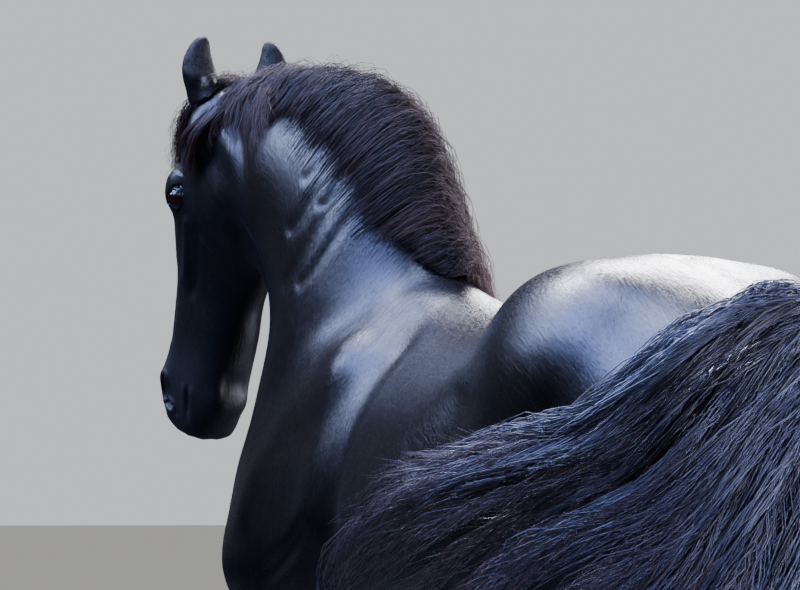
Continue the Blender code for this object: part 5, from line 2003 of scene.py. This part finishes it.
    def core(self) -> Shell:
        """A thin dark body inside the fan, so that no light comes through it: painted shade for the
        shaded depth of the locks.

        Returns:
            The body.
        """
        run = np.linspace(0.05, 0.3, 40)
        across = np.concatenate([np.linspace(0.34, 0.84, 24), np.linspace(0.84, 0.34, 24)])
        deep = np.concatenate([np.full(24, -0.16), np.full(24, -0.4)])
        thin = (1 - 0.8 * ramp(run, 0.16, 0.33))[:, None]
        grid_run = np.repeat(run[:, None], 48, 1)
        points, _ = self.sheet(grid_run, np.repeat(across[None], 40, 0), deep[None] * thin)
        return Shell.tube(points)

    def build(self, finish: Material) -> None:
        """Makes the locks and the core."""
        self.locks().build("tail_locks", self.body.shift, finish, "long_hair", ["tail"], 4)
        shade_core("tail_shade_core", self.core(), self.body, finish)


@dataclass
class Mane:
    """The mane: long fine hair that rises along the crest and falls to the right."""

    body: Body
    # place along the neck, how far down it reaches on the left and right in half turns of
    # the section, how far it stands over the crest, how thick it lies
    cover: Rows = (
        (1.25, 0.02, 0.2, 0.01, 0.016), (1.6, 0.06, 0.34, 0.02, 0.02), (2.2, 0.1, 0.5, 0.026, 0.024),
        (3.0, 0.18, 0.58, 0.027, 0.027), (4.0, 0.23, 0.64, 0.024, 0.029), (5.0, 0.25, 0.68, 0.018, 0.03),
        (6.0, 0.24, 0.72, 0.014, 0.03), (7.0, 0.25, 0.74, 0.012, 0.029), (7.8, 0.3, 0.72, 0.012, 0.027),
        (8.3, 0.38, 0.62, 0.012, 0.022),
    )
    fluff_roots: Rows = ((-0.035, 0.02), (-0.03, 0.06), (-0.042, 0.044))
    strands: int = 5600
    clumps: int = 300

    def at(self, place: Array) -> tuple[Array, Array, Array, Array]:
        """Left reach, right reach, stand and thickness at some places along the neck."""
        table = np.array(self.cover)
        return tuple(np.moveaxis(hermite(table[:, 0], table[:, 1:], place), -1, 0))

    def facing(self, place: Array, share: Array) -> Array:
        """The neck's outward way at some places."""
        neck = self.body.neck
        return unit(neck.surface(place, share, np.full_like(place, 0.02)) - neck.surface(place, share))

    def locks(self) -> Strands:
        """Strands from the root line on the left of the crest, over it and down the right.

        A strand's share round the neck runs from its root's to its tip's as t^0.85, while it
        trails towards the withers as t^1.4 and arches off the neck as sin(pi t^0.7).

        Returns:
            The strands.
        """
        rng = np.random.default_rng(23)
        n = self.strands
        clump = rng.integers(0, self.clumps, n)
        place_c = 1.35 + 6.9 * rng.beta(1.1, 1.0, self.clumps)
        t = np.linspace(0, 1, 12)[None]
        gather = 1 - 0.5 * ramp(t, 0.2, 0.9)
        place_0 = place_c[clump] + rng.normal(0, 0.11, n)
        place_0 = np.clip(place_0, 1.28, 8.35)
        left, right, stand, thick = self.at(place_0)
        depth = rng.beta(0.75, 1.9, n)
        share_0 = -left * (1.14 - 1.08 * depth) * (1 + rng.normal(0, 0.14, self.clumps)[clump])
        share_1 = right * rng.uniform(0.35, 1.0, self.clumps)[clump] * rng.uniform(0.8, 1.05, n)
        trail = rng.uniform(0.35, 1.5, self.clumps)[clump] + rng.normal(0, 0.12, n)
        trail = trail * ramp(place_0, 0.9, 2.6)
        place = place_0[:, None] - trail[:, None] * t**1.4 + rng.normal(0, 0.05, n)[:, None] * gather * t
        share = share_0[:, None] + (share_1 - share_0)[:, None] * t**0.85
        arch = np.sin(math.pi * t**0.7) * (0.35 + 0.65 * np.exp(-((share / 0.25) ** 2)))
        layer = rng.uniform(0.15, 1.0, n)[:, None]
        clear = 0.0005 + 0.3 * thick[:, None] * ramp(t, 0.0, 0.2) + layer * (
            0.5 * thick[:, None] * ramp(t, 0.0, 0.3) + stand[:, None] * arch)
        place = np.clip(place, 0.9, 8.7)
        paths = self.body.neck.surface(place, share, clear)
        facing = self.facing(place, share)
        paths = waved(
            paths, facing, rng.uniform(0.003, 0.012, self.clumps)[clump],
            rng.uniform(0.7, 2.4, self.clumps)[clump],
            rng.random(self.clumps)[clump] + rng.normal(0, 0.05, n),
            rng.uniform(0.002, 0.011, self.clumps)[clump])
        stray = rng.random(n) < 0.16
        paths = waved(paths, facing, np.where(stray, rng.uniform(0.004, 0.03, n), 0.0022),
                      np.where(stray, rng.uniform(0.4, 1.1, n), rng.uniform(1, 3, n)), rng.random(n),
                      np.where(stray, rng.uniform(0.008, 0.028, n), 0.0012))
        spot = np.stack([place_0 / 9, 0.5 + share_0], -1)
        return Strands(paths, facing, rng.uniform(0.0004, 0.0009, n), spot, rng.random(n),
                       rng.random(self.clumps)[clump])

    def poll_locks(self) -> Strands:
        """Locks at the poll that part to the left and fall behind the ear.

        Returns:
            The strands.
        """
        rng = np.random.default_rng(29)
        n, clumps = 1150, 30
        clump = rng.integers(0, clumps, n)
        t = np.linspace(0, 1, 13)[None]
        start = rng.uniform(7.3, 8.85, clumps)[clump] + rng.normal(0, 0.05, n)
        fall = rng.uniform(0.2, 0.56, clumps)[clump] * rng.uniform(0.7, 1.1, n)
        back = rng.uniform(-0.5, 1.0, clumps)[clump] + rng.normal(0, 0.08, n)
        begin = rng.uniform(-0.1, 0.2, n)[:, None]
        share = begin - (begin + fall[:, None]) * t**0.9
        place = start[:, None] - back[:, None] * t**1.5
        clear = 0.003 + rng.uniform(0.2, 1.0, n)[:, None] * (0.02 * np.sin(math.pi * t**0.6) + 0.004 * t)
        place = np.clip(place, 6.2, 8.98)
        paths = self.body.neck.surface(place, share, clear)
        facing = self.facing(place, share)
        paths = waved(
            paths, facing, rng.uniform(0.003, 0.01, clumps)[clump], rng.uniform(0.6, 1.6, clumps)[clump],
            rng.random(clumps)[clump] + rng.normal(0, 0.03, n), np.full(n, 0.003))
        spot = np.stack([start / 9.2, 0.5 + begin[:, 0]], -1)
        return Strands(paths, facing, rng.uniform(0.0005, 0.0009, n), spot, 0.5 * rng.random(n),
                       rng.random(clumps)[clump])

    def poll_fluff(self) -> Strands:
        """Short soft hair that stands up between the ears, each strand bending its own way.

        A strand leaves the poll upright and bends over by the square of its share.

        Returns:
            The strands.
        """
        rng = np.random.default_rng(37)
        n = 900
        head = self.body.head
        root = np.stack([rng.uniform(low, high, n) for low, high in self.fluff_roots], -1)
        root[:, 0] = -0.012 - 0.5 * (0.03 - root[:, 1]) * 0.2 + 0.25 * np.maximum(root[:, 1] - 0.02, 0)
        length = (rng.uniform(0.018, 0.06, n) * np.where(rng.random(n) < 0.08, 1.7, 1.0))[:, None, None]
        t = np.linspace(0, 1, 9)[None, :, None]
        rise = np.array([-1.0, 0.1, 0.0]) + rng.normal(0, 0.22, (n, 3))
        bend = np.stack([rng.uniform(0.3, 1.1, n), rng.normal(-0.1, 0.6, n),
                         rng.normal(0.15, 0.6, n) + 9 * root[:, 2]], -1)
        course = unit(rise)[:, None] * (t - 0.45 * t**2) + bend[:, None] * 0.55 * t**2
        paths = head.to_body(root[:, None] + length * course)
        facing = unit(rng.normal(0, 1, (n, 3)))
        spot = np.stack([0.5 + root[:, 2] * 4, 0.5 + root[:, 1] * 4], -1)
        return Strands(paths, facing, rng.uniform(0.0003, 0.0006, n), spot, rng.random(n), rng.random(n))

    def temple_locks(self) -> Strands:
        """Thin locks that fall from the poll behind the left ear and over the temple.

        Returns:
            The strands.
        """
        rng = np.random.default_rng(43)
        n, clumps, points = 480, 18, 10
        clump = rng.integers(0, clumps, n)
        course = threaded(np.array([
            (-0.014, -0.012, 0.036), (0.03, -0.028, 0.078), (0.08, -0.014, 0.108),
            (0.13, 0.002, 0.103), (0.185, 0.006, 0.098),
        ]), 60)
        end = (rng.uniform(0.55, 0.95, clumps)[clump] + rng.normal(0, 0.04, n))[:, None]
        at = np.clip(end * np.linspace(0, 1, points)[None], 0, 1) * (len(course) - 1)
        local = hermite(np.arange(len(course)), course, at.ravel()).reshape(n, points, 3)
        t = np.linspace(0, 1, points)[None]
        spread = rng.uniform(-0.024, 0.036, clumps)[clump] + rng.normal(0, 0.003, n)
        local[..., 1] += spread[:, None] * t**0.7
        local[..., 2] += rng.uniform(-0.003, 0.005, n)[:, None] * ramp(t, 0.0, 0.3)
        paths = self.body.head.to_body(local)
        facing = np.tile(self.body.head.axes()[:, 2], (n, 1))
        paths = waved(
            paths, facing, rng.uniform(0.001, 0.005, clumps)[clump], rng.uniform(0.5, 1.4, clumps)[clump],
            rng.random(clumps)[clump] + rng.normal(0, 0.03, n), np.full(n, 0.001))
        spot = np.stack([0.5 + local[:, 0, 2] + 0.01 * rng.random(n), 0.5 + local[:, 0, 1]], -1)
        return Strands(paths, facing, rng.uniform(0.0005, 0.0009, n), spot, 0.4 * rng.random(n),
                       rng.random(clumps)[clump])

    def core(self) -> Shell:
        """A thin dark body under the mane: painted shade for the shaded depth of the hair.

        Returns:
            The body.
        """
        place = np.linspace(1.5, 8.2, 60)[:, None]
        left, right, _, thick = self.at(place[:, 0])
        turn = np.linspace(0, 1, 25)[None]
        share = -0.66 * left[:, None] + (0.72 * right + 0.66 * left)[:, None] * turn
        rise = 0.001 + 0.3 * thick[:, None] * np.sin(math.pi * np.clip(turn, 0.02, 0.98)) ** 1.2
        outer = self.body.neck.surface(place + 0 * share, share, rise)
        inner = self.body.neck.surface(place + 0 * share, share, np.full_like(share, -0.004))
        return Shell.tube(np.concatenate([outer, inner[:, ::-1]], 1))

    def build(self, finish: Material) -> None:
        """Makes the locks and the core.

        Args:
            finish: The finish to wear.
        """
        self.locks().build("mane_locks", self.body.shift, finish, "long_hair", ["mane"], 2)
        self.poll_locks().build("mane_poll_locks", self.body.shift, finish, "long_hair")
        self.temple_locks().build("mane_temple_locks", self.body.shift, finish, "long_hair")
        self.poll_fluff().build("mane_poll_fluff", self.body.shift, finish, "long_hair")
        shade_core("mane_shade_core", self.core(), self.body, finish)


@dataclass
class Forelock:
    """The hair between the ears, which falls over the forehead to the left."""

    body: Body
    # along, front, out, half width, half thickness
    course: Rows = (
        (-30, 46, 0, 20, 14), (0, 74, 3, 24, 18), (40, 98, 10, 30, 20), (85, 112, 16, 32, 17),
        (130, 118, 20, 28, 14), (175, 120, 22, 18, 10), (205, 119, 24, 7, 5),
    )
    strands: int = 620

    def build(self, finish: Material) -> None:
        """Makes the strands, each keeping its own share of the width and the thickness.

        Args:
            finish: The finish to wear.
        """
        rng = np.random.default_rng(31)
        n = self.strands
        t = np.linspace(0, 1, 12)[None]
        begin = rng.uniform(0.0, 0.22, n)[:, None]
        end = rng.uniform(0.6, 1.0, n)[:, None]
        at = begin + (end - begin) * t
        course = hermite(np.linspace(0, 1, 7), metres(self.course, 5), at)
        along, front, out, wide, deep = np.moveaxis(course, -1, 0)
        across = rng.uniform(-1, 1, n)[:, None] * (1 + 0.35 * t)
        off = rng.uniform(-0.5, 1.0, n)[:, None]
        local = np.stack([along, front + off * deep, out + across * wide], -1)
        paths = self.body.head.to_body(local)
        facing = np.tile(self.body.head.axes()[:, 1], (n, 1))
        stray = rng.random(n) < 0.3
        sway = np.where(stray, rng.uniform(0.008, 0.022, n), rng.uniform(0.001, 0.008, n))
        paths = waved(paths, facing, sway, rng.uniform(0.6, 1.8, n), rng.random(n),
                      np.where(stray, rng.uniform(0.006, 0.02, n), 0.004))
        spot = np.concatenate([begin, 0.5 + 0.4 * across[:, :1]], 1)
        locks = Strands(paths, facing, rng.uniform(0.0004, 0.0008, n), spot, rng.random(n), rng.random(n))
        locks.build("forelock_locks", self.body.shift, finish, "long_hair", ["forelock"])


@dataclass
class Feather:
    """The long hair round one fetlock, which hangs over the hoof."""

    body: Body
    leg: Leg
    strands: int = 760

    def build(self, finish: Material) -> None:
        """Makes the strands.

        Each falls from its root by a length that is greatest behind, while its clearance from
        the leg grows as t to a largest value that is also greatest behind.

        Args:
            finish: The finish to wear.
        """
        rng = np.random.default_rng(41 + 7 * list(Limb).index(self.leg.limb) + self.leg.side.value)
        n = self.strands
        turn = rng.uniform(-math.pi, math.pi, n)
        back = 0.5 + 0.5 * np.sin(turn)
        root = 0.115 + rng.beta(1.0, 1.3, n) * (0.045 + 0.19 * back)
        length = (0.06 + 0.075 * back) * rng.uniform(0.75, 1.15, n)
        t = np.linspace(0, 1, 9)[None]
        height = np.maximum(root[:, None] - length[:, None] * t ** 0.95, 0.016)
        spread = (0.01 + 0.026 * back) * rng.uniform(0.4, 1.0, n)
        clear = -0.001 + spread[:, None] * np.sin(0.5 * math.pi * t) + 0.01 * (1 - back)[:, None] * t
        angle = turn[:, None] + rng.normal(0, 0.1, n)[:, None] * t
        paths = self.leg.around(height, angle, clear)
        middle = self.leg.around(height, angle, np.full_like(height, -0.03))
        facing = unit(paths - middle)
        paths = waved(paths, facing, rng.uniform(0.001, 0.006, n), rng.uniform(0.5, 1.6, n), rng.random(n),
                      np.full(n, 0.002))
        paths[..., 2] = np.maximum(paths[..., 2], 0.004)
        spot = np.stack([0.5 + turn / 6.6, root * 3], -1)
        locks = Strands(paths, facing, rng.uniform(0.0009, 0.0016, n), spot, rng.random(n), rng.random(n))
        name = self.leg.name
        locks.build(f"feather_locks_{name}", self.body.shift, finish, "long_hair", [f"feather_{name}"])


@dataclass
class ShortCoat:
    """Short tufts over the skin: close spikes that lie back along it."""

    body: Body
    skin: Object
    count: int = 92000

    def roots(self) -> tuple[Array, Array, Array]:
        """Seeded places spread over the skin by area, with normals and the coat's lie there.

        Returns:
            The places, the normals and the lie.
        """
        mesh = self.skin.data
        mesh.calc_loop_triangles()
        corners = np.empty(len(mesh.loop_triangles) * 3, np.int32)
        mesh.loop_triangles.foreach_get("vertices", corners)
        corners = corners.reshape(-1, 3)
        points, normals = vectors_of(mesh) - self.body.shift, vectors_of(mesh, "normal")
        flat = np.empty(len(points) * 3, np.float32)
        mesh.attributes["lie"].data.foreach_get("vector", flat)
        lie = flat.reshape(-1, 3)
        a, b, c = (points[corners[:, k]] for k in range(3))
        area = np.linalg.norm(np.cross(b - a, c - a), axis=1) * self.thickness((a + b + c) / 3)
        rng = np.random.default_rng(5)
        chosen = rng.choice(len(area), self.count, p=area / area.sum())
        mix = rng.dirichlet((1, 1, 1), self.count)
        blended = [np.einsum("nk,nkj->nj", mix, field[corners[chosen]]) for field in (points, normals, lie)]
        return blended[0], unit(blended[1]), unit(blended[2])

    def thickness(self, points: Array) -> Array:
        """How closely the tufts stand: none in the eyes, nostrils and mouth, more on the head.

        Args:
            points: Places in the body.

        Returns:
            A weight for each point, 1 on the body.
        """
        head = self.body.head
        local = head.from_body(points)
        found = np.where(self.near_head(points), 2.2, 1.0)
        for side in Side:
            found = found * (np.linalg.norm(local - head.eye(side), axis=1) > 0.031)
            nostril = np.array([0.582, 0.02, side.value * 0.048])
            found = found * (np.linalg.norm(local - nostril, axis=1) > 0.024)
        return found * np.where(self.on_ear(points), 9.0, 1.0) * (points[:, 2] > 0.085)

    def on_ear(self, points: Array) -> Array:
        """True on the ears."""
        x, y, z = self.body.head.from_body(points).T
        return (x < -0.035) & (np.abs(z) > 0.035) & (y > -0.04) & (points[:, 1] < -0.5)

    def near_head(self, points: Array) -> Array:
        """True on the head.

        Args:
            points: Places in the body.

        Returns:
            One truth for each point.
        """
        local = self.body.head.from_body(points)
        return (np.linalg.norm(points - self.body.head.poll(), axis=1) < 0.75) & (local[:, 0] > -0.15) & (
            np.abs(local[:, 2]) < 0.13) & (local[:, 1] > -0.2) & (points[:, 1] < -0.5)

    def unwrap(self, points: Array) -> Array:
        """Each root's place on the skin laid flat.

        The trunk and neck are a strip: how far along the body, and the turn round it from
        the withers. The head and each leg have their own strips beside it.

        Args:
            points: Places in the body.

        Returns:
            Two coordinates for each root.
        """
        x, y, z = points.T
        turn = np.arctan2(x, z - 1.15) / (2 * math.pi) + 0.5
        found = np.stack([0.02 + 0.42 * np.clip((y + 1.1) / 2.4, 0, 1), 0.02 + 0.95 * turn], -1)
        local = self.body.head.from_body(points)
        face = self.near_head(points)
        spin = np.arctan2(local[:, 2], local[:, 1] + 0.03) / (2 * math.pi) + 0.5
        head = np.stack([0.47 + 0.24 * np.clip((local[:, 0] + 0.15) / 0.82, 0, 1), 0.02 + 0.95 * spin], -1)
        found = np.where(face[:, None], head, found)
        for k, leg in enumerate(self.body.legs.values()):
            middle = leg.around(z, np.zeros(len(z)), np.full(len(z), -0.05))
            apart = points - middle
            mine = (np.hypot(apart[:, 0], apart[:, 1]) < 0.2) & (z < 0.85)
            spin = np.arctan2(apart[:, 0], apart[:, 1]) / (2 * math.pi) + 0.5
            strip = np.stack([0.74 + 0.06 * k + 0.05 * spin, 0.02 + 0.95 * z / 0.85], -1)
            found = np.where(mine[:, None], strip, found)
        return found

    def build(self, finish: Material) -> None:
        """Makes the tufts: about 6 mm long on the face and feet, and 12 mm on the body.

        Args:
            finish: The finish to wear.
        """
        rng = np.random.default_rng(6)
        root, normal, lie = self.roots()
        n = len(root)
        small = np.maximum(self.near_head(root), 1 - ramp(root[:, 2], 0.45, 0.95))
        length = (0.0115 - 0.0052 * small) * rng.uniform(0.75, 1.15, n)
        side = np.cross(normal, lie)
        way = unit(lie + side * rng.normal(0, 0.16, n)[:, None])
        t = np.array([0.0, 1.0])[None, :, None]
        start = root - normal * 0.0008
        rise = normal * (0.0014 + 0.1 * length * rng.uniform(0.1, 1.0, n))[:, None]
        paths = start[:, None] + t * (way * length[:, None] + rise)[:, None]
        width = (0.00046 - 0.00008 * small) * rng.uniform(0.8, 1.2, n)
        ear = self.on_ear(root)
        luck, clump = rng.random(n), np.where(ear, TuftedCoat.downy, rng.random(n))
        tufts = Strands(paths, normal, width, self.unwrap(root), luck, clump, 0.32)
        tufts.build("short_coat", self.body.shift, finish, "coat", (), 3)


# ---- the studio
@dataclass(frozen=True)
class Studio:
    """The pale floor, the soft lights and the camera, placed from the withers."""

    body: Body
    eye_place: tuple[float, float, float] = (2.7509, 5.8987, 1.2907)
    heading: float = 0.4231
    pitch: float = 0.042
    lens_mm: float = 168.12
    sensor_mm: float = 36.0
    aim_height: float = 1.3
    floor_radius: float = 60.0
    # name, place from the withers, size in metres, watts, colour
    lamps: tuple = (
        ("left_sky", (3.1, -2.2, 4.1), 1.1, 130.0, "#b0bff2"),
        ("croup_sky", (2.8, -0.3, 4.9), 2.5, 430.0, "#93a8f6"),
        ("top_sky", (0.6, -0.7, 5.8), 1.9, 230.0, "#a9b9f6"),
        ("front_sky", (0.1, -2.35, 5.25), 0.8, 240.0, "#e6eaff"),
        ("mid_sky", (1.6, -2.3, 4.9), 1.2, 130.0, "#c6d0ff"),
        ("back_window", (-2.7, -3.3, 4.3), 1.5, 380.0, "#f8f6ff"),
        ("low_right", (-3.8, 1.9, 0.2), 2.4, 170.0, "#dfe4ff"),
        ("rear_sky", (-0.9, 5.6, 2.6), 2.2, 340.0, "#c0c6f0"),
        ("right_rim", (-3.8, 0.6, 2.7), 1.6, 240.0, "#f4efff"),
    )

    def build(self) -> None:
        """Makes the floor, the lights, the surroundings and the camera."""
        floor = put_in_scene("studio_floor", self.floor())
        floor.data.materials.append(StudioPaper().material())
        withers = Vector(self.body.shift)
        for name, place, size, power, tone in self.lamps:
            lamp = bpy.data.lights.new(name, "AREA")
            lamp.shape, lamp.size, lamp.energy, lamp.color = "DISK", size, power, linear(tone)[:3]
            obj = put_in_scene(name, lamp)
            obj.location = withers + Vector(place)
            aim = withers + Vector((0, 0, self.aim_height)) - obj.location
            obj.rotation_euler = aim.to_track_quat("-Z", "Y").to_euler()
        self.surroundings()
        self.camera()

    def floor(self) -> Mesh:
        """A wide disc on z = 0.

        Returns:
            The disc.
        """
        t = np.linspace(0, 2 * math.pi, 97)[:-1]
        mesh = bpy.data.meshes.new("studio_floor")
        ring = [(self.floor_radius * math.cos(a), self.floor_radius * math.sin(a), 0.0) for a in t]
        mesh.from_pydata(ring, [], [tuple(range(96))])
        return mesh

    def surroundings(self) -> None:
        """Pale all round to the eye, and dimmer as a light, so that the black coat stays black."""
        world = bpy.data.worlds.new("studio")
        nodes = Nodes(world)
        seen = nodes.add("LightPath", {})["Is Camera Ray"]
        power = nodes.add("MapRange", (seen, 0.0, 1.0, 0.085, 0.86))[0]
        sky = nodes.add("Background", {"Color": linear("#e9edf2"), "Strength": power})
        nodes.add("OutputWorld", {"Surface": sky[0]})
        bpy.context.scene.world = world

    def camera(self) -> None:
        """A long lens behind the left hip, level with the barrel and raised a little."""
        lens = bpy.data.cameras.new("camera")
        lens.lens, lens.sensor_width = self.lens_mm, self.sensor_mm
        obj = put_in_scene("camera", lens)
        obj.location = Vector(self.eye_place) + Vector(self.body.shift)
        forward = Vector((-math.sin(self.heading) * math.cos(self.pitch),
                          -math.cos(self.heading) * math.cos(self.pitch), math.sin(self.pitch)))
        obj.rotation_euler = forward.to_track_quat("-Z", "Y").to_euler()
        bpy.context.scene.camera = obj


def main() -> None:
    """Builds the studio and the horse, one part after another."""
    logging.basicConfig(level=logging.INFO, format="%(name)s %(message)s")
    body = Body()
    Studio(body).build()
    coat, horn, wet = SummerCoat().material(), HoofHorn().material(), WetEye().material()
    skin = Skin(body).build()
    skin.data.materials.clear()
    skin.data.materials.append(coat)
    settle(skin, [
        "head", "neck", "trunk_fore", "trunk_barrel", "trunk_hind", "ear_left", "ear_right",
        "fore_leg_left", "fore_leg_right", "hind_leg_left", "hind_leg_right",
    ])
    for side in Side:
        Eye(body, side).build(wet)
    long_hair = LongHair("black_tail_hair").material()
    # the mane's root, then its lighter clump colour (partly worn hair, partly painted sheen), then its tip
    mane_hair = LongHair("brown_black_mane_hair", "#1b1315", "#5c4a48", "#6e4e40", 0.2, 0.47, "#dccac8",
                         0.28, 0.3).material()
    for leg in body.legs.values():
        Hoof(body, leg).build(horn)
        Feather(body, leg).build(long_hair)
    Tail(body).build(long_hair)
    Mane(body).build(mane_hair)
    Forelock(body).build(mane_hair)
    ShortCoat(body, skin).build(TuftedCoat().material())


if __name__ == "__main__":
    main()
